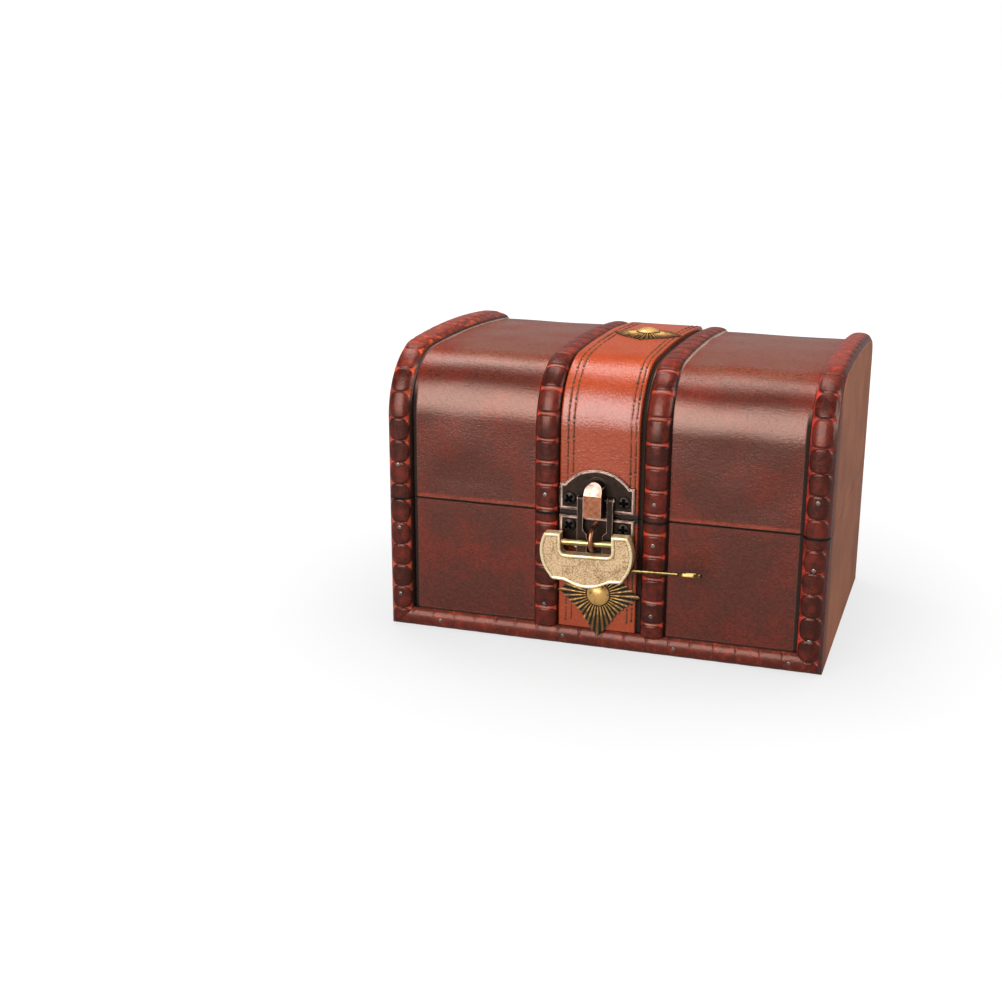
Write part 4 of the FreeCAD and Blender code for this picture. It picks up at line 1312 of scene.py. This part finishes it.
class CHEST_OT_panels(Operator):
    """Panels of the base and the ends of the lid, with rounded edges"""
    bl_idname = "chest.panels"
    bl_label = "Panels"

    def execute(self, context):
        panel, end = panel_wood(), end_wood()
        width = context.scene.chest_wood.rounding
        for node, body, finish, slot in (
            ("base_front_panel", "base", panel, "stained_wood"),
            ("base_back_panel", "base", panel, "stained_wood"),
            ("base_floor", "base", panel, "stained_wood"),
            ("base_left_end", "base", end, "end_wood"),
            ("base_right_end", "base", end, "end_wood"),
            ("lid_left_end", "lid", end, "end_wood"),
            ("lid_right_end", "lid", end, "end_wood"),
        ):
            mesh = softened(node, width)
            outside = mesh.attributes.new("outside", "FLOAT", "FACE").data
            if node == "base_front_panel":
                outside.foreach_set("value", [float(face.normal.y < -0.5) for face in mesh.polygons])
            add_piece("finished_" + node, mesh, finish, body, [node])
        self.lid_skin(context, panel)
        return {"FINISHED"}

    def lid_skin(self, context, finish):
        """Bent sheet with the slight waves of the real one."""
        settings = context.scene.chest_wood
        run = LidRun(settings, 0.0)
        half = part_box("lid_skin")[1].x
        along = np.linspace(0, run.length, SKIN_ROWS)[:, None]
        across = np.linspace(half, -half, SKIN_COLUMNS)
        dents = settings.dent * waves(along, across, DENT_SEED, DENT_SIZE)
        from_foot = np.minimum(along, run.length - along)
        eased = dents * np.minimum(1, from_foot / DENT_EASE)
        outer = run.place(along, across, eased)
        inner = run.place(along, across[[-1, 0]], np.full(2, -settings.skin))
        rings = np.concatenate([outer, inner], axis=1)
        edge = np.broadcast_to(from_foot < RUBBED_FOOT, rings.shape[:2]).astype(float)
        outside = np.broadcast_to(np.arange(rings.shape[1]) < len(across), edge.shape).astype(float)
        mesh = new_mesh("lid_skin", loft(rings), {"edge": edge, "outside": outside})
        add_piece("bent_lid_skin", mesh, finish, "lid", ["lid_skin"])


class CHEST_OT_trim(Operator):
    """Beaded strips and bands"""
    bl_idname = "chest.trim"
    bl_label = "Beaded trim"

    def execute(self, context):
        settings = context.scene.chest_trim
        left = bead_wood("left trim wood", settings.left_hollow)
        right = bead_wood("right trim wood", settings.right_hollow, 0.85)
        band = bead_wood("band wood", settings.band_hollow, crown_share=0.35)
        for number, node in enumerate(TRIM_RUNS):
            build = build_lid_trim if node.startswith("lid") else build_base_trim
            finish = band if node.endswith("band") else right if "right" in node else left
            build(node, finish, TRIM_SEED + number)
        build_foot_strip(bead_wood("foot strip wood", settings.foot_hollow, crown_share=0.42))
        return {"FINISHED"}


class CHEST_OT_nails(Operator):
    """Brads in the trim"""
    bl_idname = "chest.nails"
    bl_label = "Brads"

    def execute(self, context):
        steel = context.scene.chest_latch.steel
        finish = plain_metal("nail steel", steel, 0.55, 600.0, 0.28)
        for node, body in (("base_trim_nails", "base"), ("lid_trim_nails", "lid")):
            add_piece("rounded_" + node, softened(node, 0.16 * MM), finish, body, [node])
        return {"FINISHED"}


# Distance between the rings of the strap, and the share and the size of its unevenness
STRAP_STEP = 0.6 * MM
STRAP_UNEVEN = 0.05
STRAP_WAVE = 16 * MM


class CHEST_OT_strap(Operator):
    """Leather strap with its stitching"""
    bl_idname = "chest.strap"
    bl_label = "Strap"

    def execute(self, context):
        settings = context.scene.chest_strap
        leather = strap_leather()
        pale_thread = scaled(settings.thread, 1.8)
        thread_finish = plain_finish("strap thread", settings.thread, pale_thread, 900.0, 0.7)
        hole_shade_finish = plain_finish("stitch hole", settings.hole, settings.thread, 500.0, 0.8)
        lid_run = LidRun(context.scene.chest_wood, 0.0)
        base_low, base_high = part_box("base_strap")
        base_run = FrontRun(0.0)
        for node, body, run, low, high in (
            ("lid_strap", "lid", lid_run, 0.0, lid_run.length),
            ("base_strap", "base", base_run, base_low.z, base_high.z),
        ):
            across, height = strap_section(settings, base_low.x, base_high.x)
            along = np.linspace(low, high, int(round((high - low) / STRAP_STEP)) + 1)[:, None]
            uneven = 1 + STRAP_UNEVEN * waves(along, across, LEATHER_SEED, STRAP_WAVE)
            mesh = new_mesh(node, loft(run.place(along, across, height * uneven)))
            add_piece("leather_" + node, mesh, leather, body, [node], FINE_CREASE)
            threads, holes = stitches(settings, run, low, high)
            add_piece(node + "_thread", new_mesh(node + "_thread", together(threads)), thread_finish, body)
            add_piece(node + "_holes", new_mesh(node + "_holes", together(holes)), hole_shade_finish, body)
        return {"FINISHED"}


class CHEST_OT_studs(Operator):
    """Sunburst studs on the strap"""
    bl_idname = "chest.studs"
    bl_label = "Studs"

    def execute(self, context):
        settings = context.scene.chest_stud
        finish = stud_brass()
        thick = context.scene.chest_strap.thickness
        low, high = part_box("base_star_stud")
        side = (high.x - low.x) / 2
        rise = (high.z - low.z) / 2
        (points, faces), marks = star_shape(settings, side, rise, settings.waist)
        low_tip = np.clip(-points[:, 1] / rise, 0, 1)
        points[:, 1] -= settings.tip_drop * smooth_step(settings.dome_radius / rise, 1.0, low_tip)
        points[:, 2] += settings.tip_lift * low_tip ** 1.5
        right, up, forward = (np.array(way) for way in ((1, 0, 0), (0, 0, 1), (0, -1, 0)))
        centre = ((low.x + high.x) / 2, front_y - thick, (low.z + high.z) / 2)
        base = oriented((points, faces), centre, right, up, forward)
        self.add("base_star_stud", "base", base, marks, finish)
        low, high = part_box("lid_star_stud")
        side, rise = (high.x - low.x) / 2, (high.y - low.y) / 2
        (points, faces), marks = star_shape(settings, side, rise, settings.lid_waist)
        run = LidRun(context.scene.chest_wood, (low.x + high.x) / 2)
        setback = (low.y + high.y) / 2 - run.crown_place[0]
        middle = run.bend + run.radii[1] * (math.pi / 2 - run.turns[1])
        bent = run.place(middle + setback + points[:, 1], points[:, 0], thick + points[:, 2])
        self.add("lid_star_stud", "lid", (bent, faces), marks, finish)
        return {"FINISHED"}

    def add(self, node, body, shape, marks, finish):
        mesh = new_mesh(node, shape, marks)
        add_piece("ribbed_" + node, mesh, finish, body, [node], STUD_CREASE)


# How far the rims are rubbed, and how far the lug's up-facing slope is, whose rubbed copper also paints its
# highlight; half width of the dark part round the lug, and its distance from the plate's top; depth behind
# the lug's front where its copper ends and where its foot is; bevel of stirrup and pin, of the bevel of the
# plates
RIM_WEAR = 0.36
LUG_WEAR_AND_HIGHLIGHT = 0.46
LUG_HALF = 4.8 * MM
LUG_DROP = 1.4 * MM
LUG_COPPER = 0.6 * MM
LUG_FOOT = 2.5 * MM
SMALL_BEVEL = 0.6


class CHEST_OT_latch(Operator):
    """Latch plates, hasp, pin and staple"""
    bl_idname = "chest.latch"
    bl_label = "Latch"

    def execute(self, context):
        settings = context.scene.chest_latch
        plate = worn_metal("latch bronze", settings.bronze, settings.copper, 0.36, 2.2)
        lug_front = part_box("hasp_plate")[0].y
        proud = (lug_front + LUG_COPPER, settings.lug)
        lugged = worn_metal("hasp bronze", settings.bronze, settings.copper, 0.36, 2.2, proud)
        for node, body, width, finish in (
            ("hasp_plate", "lid", settings.bevel, lugged),
            ("staple_plate", "base", settings.bevel, plate),
            ("hasp_stirrup", "hasp", SMALL_BEVEL * settings.bevel, plate),
            ("hasp_pin", "hasp", SMALL_BEVEL * settings.bevel, plate),
        ):
            mesh = softened(node, width, 4)
            if node == "hasp_plate":
                self.wear_and_highlight_lug(mesh, lug_front + LUG_FOOT)
            add_piece("bevelled_" + node, mesh, finish, body, [node])
        middle, half, top = self.lug_place()
        for node, body in (("hasp_plate", "lid"), ("staple_plate", "base")):
            outline, out = flat_outline(node, -1), np.array((0.0, -1.0, 0.0))
            (points, faces), _ = rim(outline, out, settings.rim_width, settings.rim_height, RUBBED_RIM)
            by_lug = (np.abs(points[:, 0] - middle) < half) & (points[:, 2] < top) & (node == "hasp_plate")
            mesh = new_mesh(node + "_rim", (points, faces), {"edge": np.where(by_lug, 0.0, RIM_WEAR)})
            add_piece("rubbed_rim_of_" + node, mesh, plate, body, (), FINE_CREASE)
        dress("staple", plain_metal("staple copper", settings.wire, 0.7, 500.0, 0.32, 0.04))
        return {"FINISHED"}

    def lug_place(self):
        """Middle, half width and top of the part of the plate that the lug and the stirrup shade."""
        low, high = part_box("hasp_pin")
        return (low.x + high.x) / 2, LUG_HALF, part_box("hasp_plate")[1].z - LUG_DROP

    def wear_and_highlight_lug(self, mesh, foot):
        """Marks the lug's up-facing slope as rubbed, which also paints its highlight, and leaves the plate
        round its foot dark.
        """
        middle, half, top = self.lug_place()
        for face, edge in zip(mesh.polygons, mesh.attributes["edge"].data):
            if face.center.y < foot:
                if 0.3 < face.normal.z < 0.95:
                    edge.value = LUG_WEAR_AND_HIGHLIGHT
            elif abs(face.center.x - middle) < half and face.center.z < top:
                edge.value = 0.0


# Turn of the cross in the first screw of a node, and from screw to screw; how far a head stands proud
FIRST_TURN = 0.7
TURN_STEP = 0.9
HEAD_PROUD = 0.05 * MM


class CHEST_OT_screws(Operator):
    """Screws of the latch and of the hinges"""
    bl_idname = "chest.screws"
    bl_label = "Screws"

    def execute(self, context):
        settings = context.scene.chest_latch
        black = screw_metal("blackened screw", settings.screw)
        brass = screw_metal("hinge screw brass", settings.hinge)
        right, up = np.array((1, 0, 0)), np.array((0, 0, 1))
        for node, body, out, finish, slot, radius, height in (
            ("hasp_plate_screws", "lid", -1, black, "screw_bronze", 1.85 * MM, 0.75 * MM),
            ("staple_plate_screws", "base", -1, black, "screw_bronze", 1.85 * MM, 0.75 * MM),
            ("hinge_lid_screws", "lid", 1, brass, "hinge_brass", 1.3 * MM, 0.55 * MM),
            ("hinge_base_screws", "base", 1, brass, "hinge_brass", 1.3 * MM, 0.55 * MM),
        ):
            heads, recesses = [], []
            for number, (low, high) in enumerate(islands(node)):
                seat = (high.y if out > 0 else low.y) - out * (height - HEAD_PROUD)
                centre = ((low.x + high.x) / 2, seat, (low.z + high.z) / 2)
                head, recess = screw_head(radius, height, settings, FIRST_TURN + TURN_STEP * number)
                heads.append(oriented(head, centre, right, up, np.array((0, out, 0))))
                recesses.append(recess)
            mesh = new_mesh(node, together(heads), {"recess": np.concatenate(recesses)})
            add_piece("crossed_" + node, mesh, finish, body, [node], FINE_CREASE)
        return {"FINISHED"}


class CHEST_OT_padlock(Operator):
    """Padlock with its border, shackle, springs and key"""
    bl_idname = "chest.padlock"
    bl_label = "Padlock"

    def execute(self, context):
        settings = context.scene.chest_padlock
        self.soften("cast_padlock_body", "padlock_body", "padlock", padlock_face(), 0.25 * MM)
        self.border(settings, border_brass())
        bar = plain_metal("shackle brass", settings.bar, 0.7, 300.0, 0.36)
        self.soften("rounded_shackle", "padlock_shackle", "shackle", bar, 0.15 * MM)
        steel = context.scene.chest_latch.steel
        dress("padlock_springs", plain_metal("spring steel", steel, 0.5, 500.0, 0.3))
        key = plain_metal("key brass", settings.key, 0.45, 400.0, 0.26)
        self.soften("rounded_key", "padlock_key", "key", key, 0.20 * MM)
        return {"FINISHED"}

    def soften(self, name, node, body, finish, width):
        """Piece that is its solid with rounded edges."""
        add_piece(name, softened(node, width), finish, body, [node])

    def border(self, settings, finish):
        """Raised border that follows the outline of both faces."""
        shapes, grooves = [], []
        for way in (-1, 1):
            loop = flat_outline("padlock_body", way)
            out = np.array((0.0, way, 0.0))
            shape, groove = rim(loop, out, settings.width, settings.height, BORDER)
            shapes.append(shape)
            grooves.append(groove)
        mesh = new_mesh("padlock_border", together(shapes), {"groove": np.concatenate(grooves)})
        add_piece("padlock_border", mesh, finish, "padlock", (), FINE_CREASE)


HINGE_SOLIDS = {"hinge_base_leaves": "base", "hinge_lid_leaves": "lid", "hinge_pins": "base"}


class CHEST_OT_hinges(Operator):
    """Butt hinges at the back"""
    bl_idname = "chest.hinges"
    bl_label = "Hinges"

    def execute(self, context):
        settings = context.scene.chest_latch
        brass = worn_metal("hinge brass", settings.hinge, scaled(settings.hinge, 1.6), 0.32, 1.2)
        for node, body in HINGE_SOLIDS.items():
            add_piece("rounded_" + node, softened(node, 0.15 * MM), brass, body, [node])
        return {"FINISHED"}


class CHEST_PT_pieces(Panel):
    """Buttons for the pieces of the chest"""
    bl_idname = "CHEST_PT_pieces"
    bl_label = "Treasure chest"
    bl_space_type = "VIEW_3D"
    bl_region_type = "UI"
    bl_category = "Chest"

    def draw(self, context):
        for operator in OPERATORS:
            self.layout.operator(operator.bl_idname)
        for name, _ in SETTINGS:
            box = self.layout.box()
            group = getattr(context.scene, name)
            for key in group.__annotations__:
                box.prop(group, key)


OPERATORS = (
    CHEST_OT_stage,
    CHEST_OT_panels,
    CHEST_OT_trim,
    CHEST_OT_nails,
    CHEST_OT_strap,
    CHEST_OT_studs,
    CHEST_OT_latch,
    CHEST_OT_screws,
    CHEST_OT_padlock,
    CHEST_OT_hinges,
)


def register():
    for name, settings in SETTINGS:
        bpy.utils.register_class(settings)
        setattr(bpy.types.Scene, name, PointerProperty(type=settings))
    for operator in OPERATORS:
        bpy.utils.register_class(operator)
    bpy.utils.register_class(CHEST_PT_pieces)


def unregister():
    bpy.utils.unregister_class(CHEST_PT_pieces)
    for operator in reversed(OPERATORS):
        bpy.utils.unregister_class(operator)
    for name, settings in reversed(SETTINGS):
        delattr(bpy.types.Scene, name)
        bpy.utils.unregister_class(settings)


def main():
    register()
    for operator in OPERATORS:
        group, name = operator.bl_idname.split(".")
        getattr(getattr(bpy.ops, group), name)()
    bpy.context.view_layer.update()


if __name__ == "__main__":
    main()
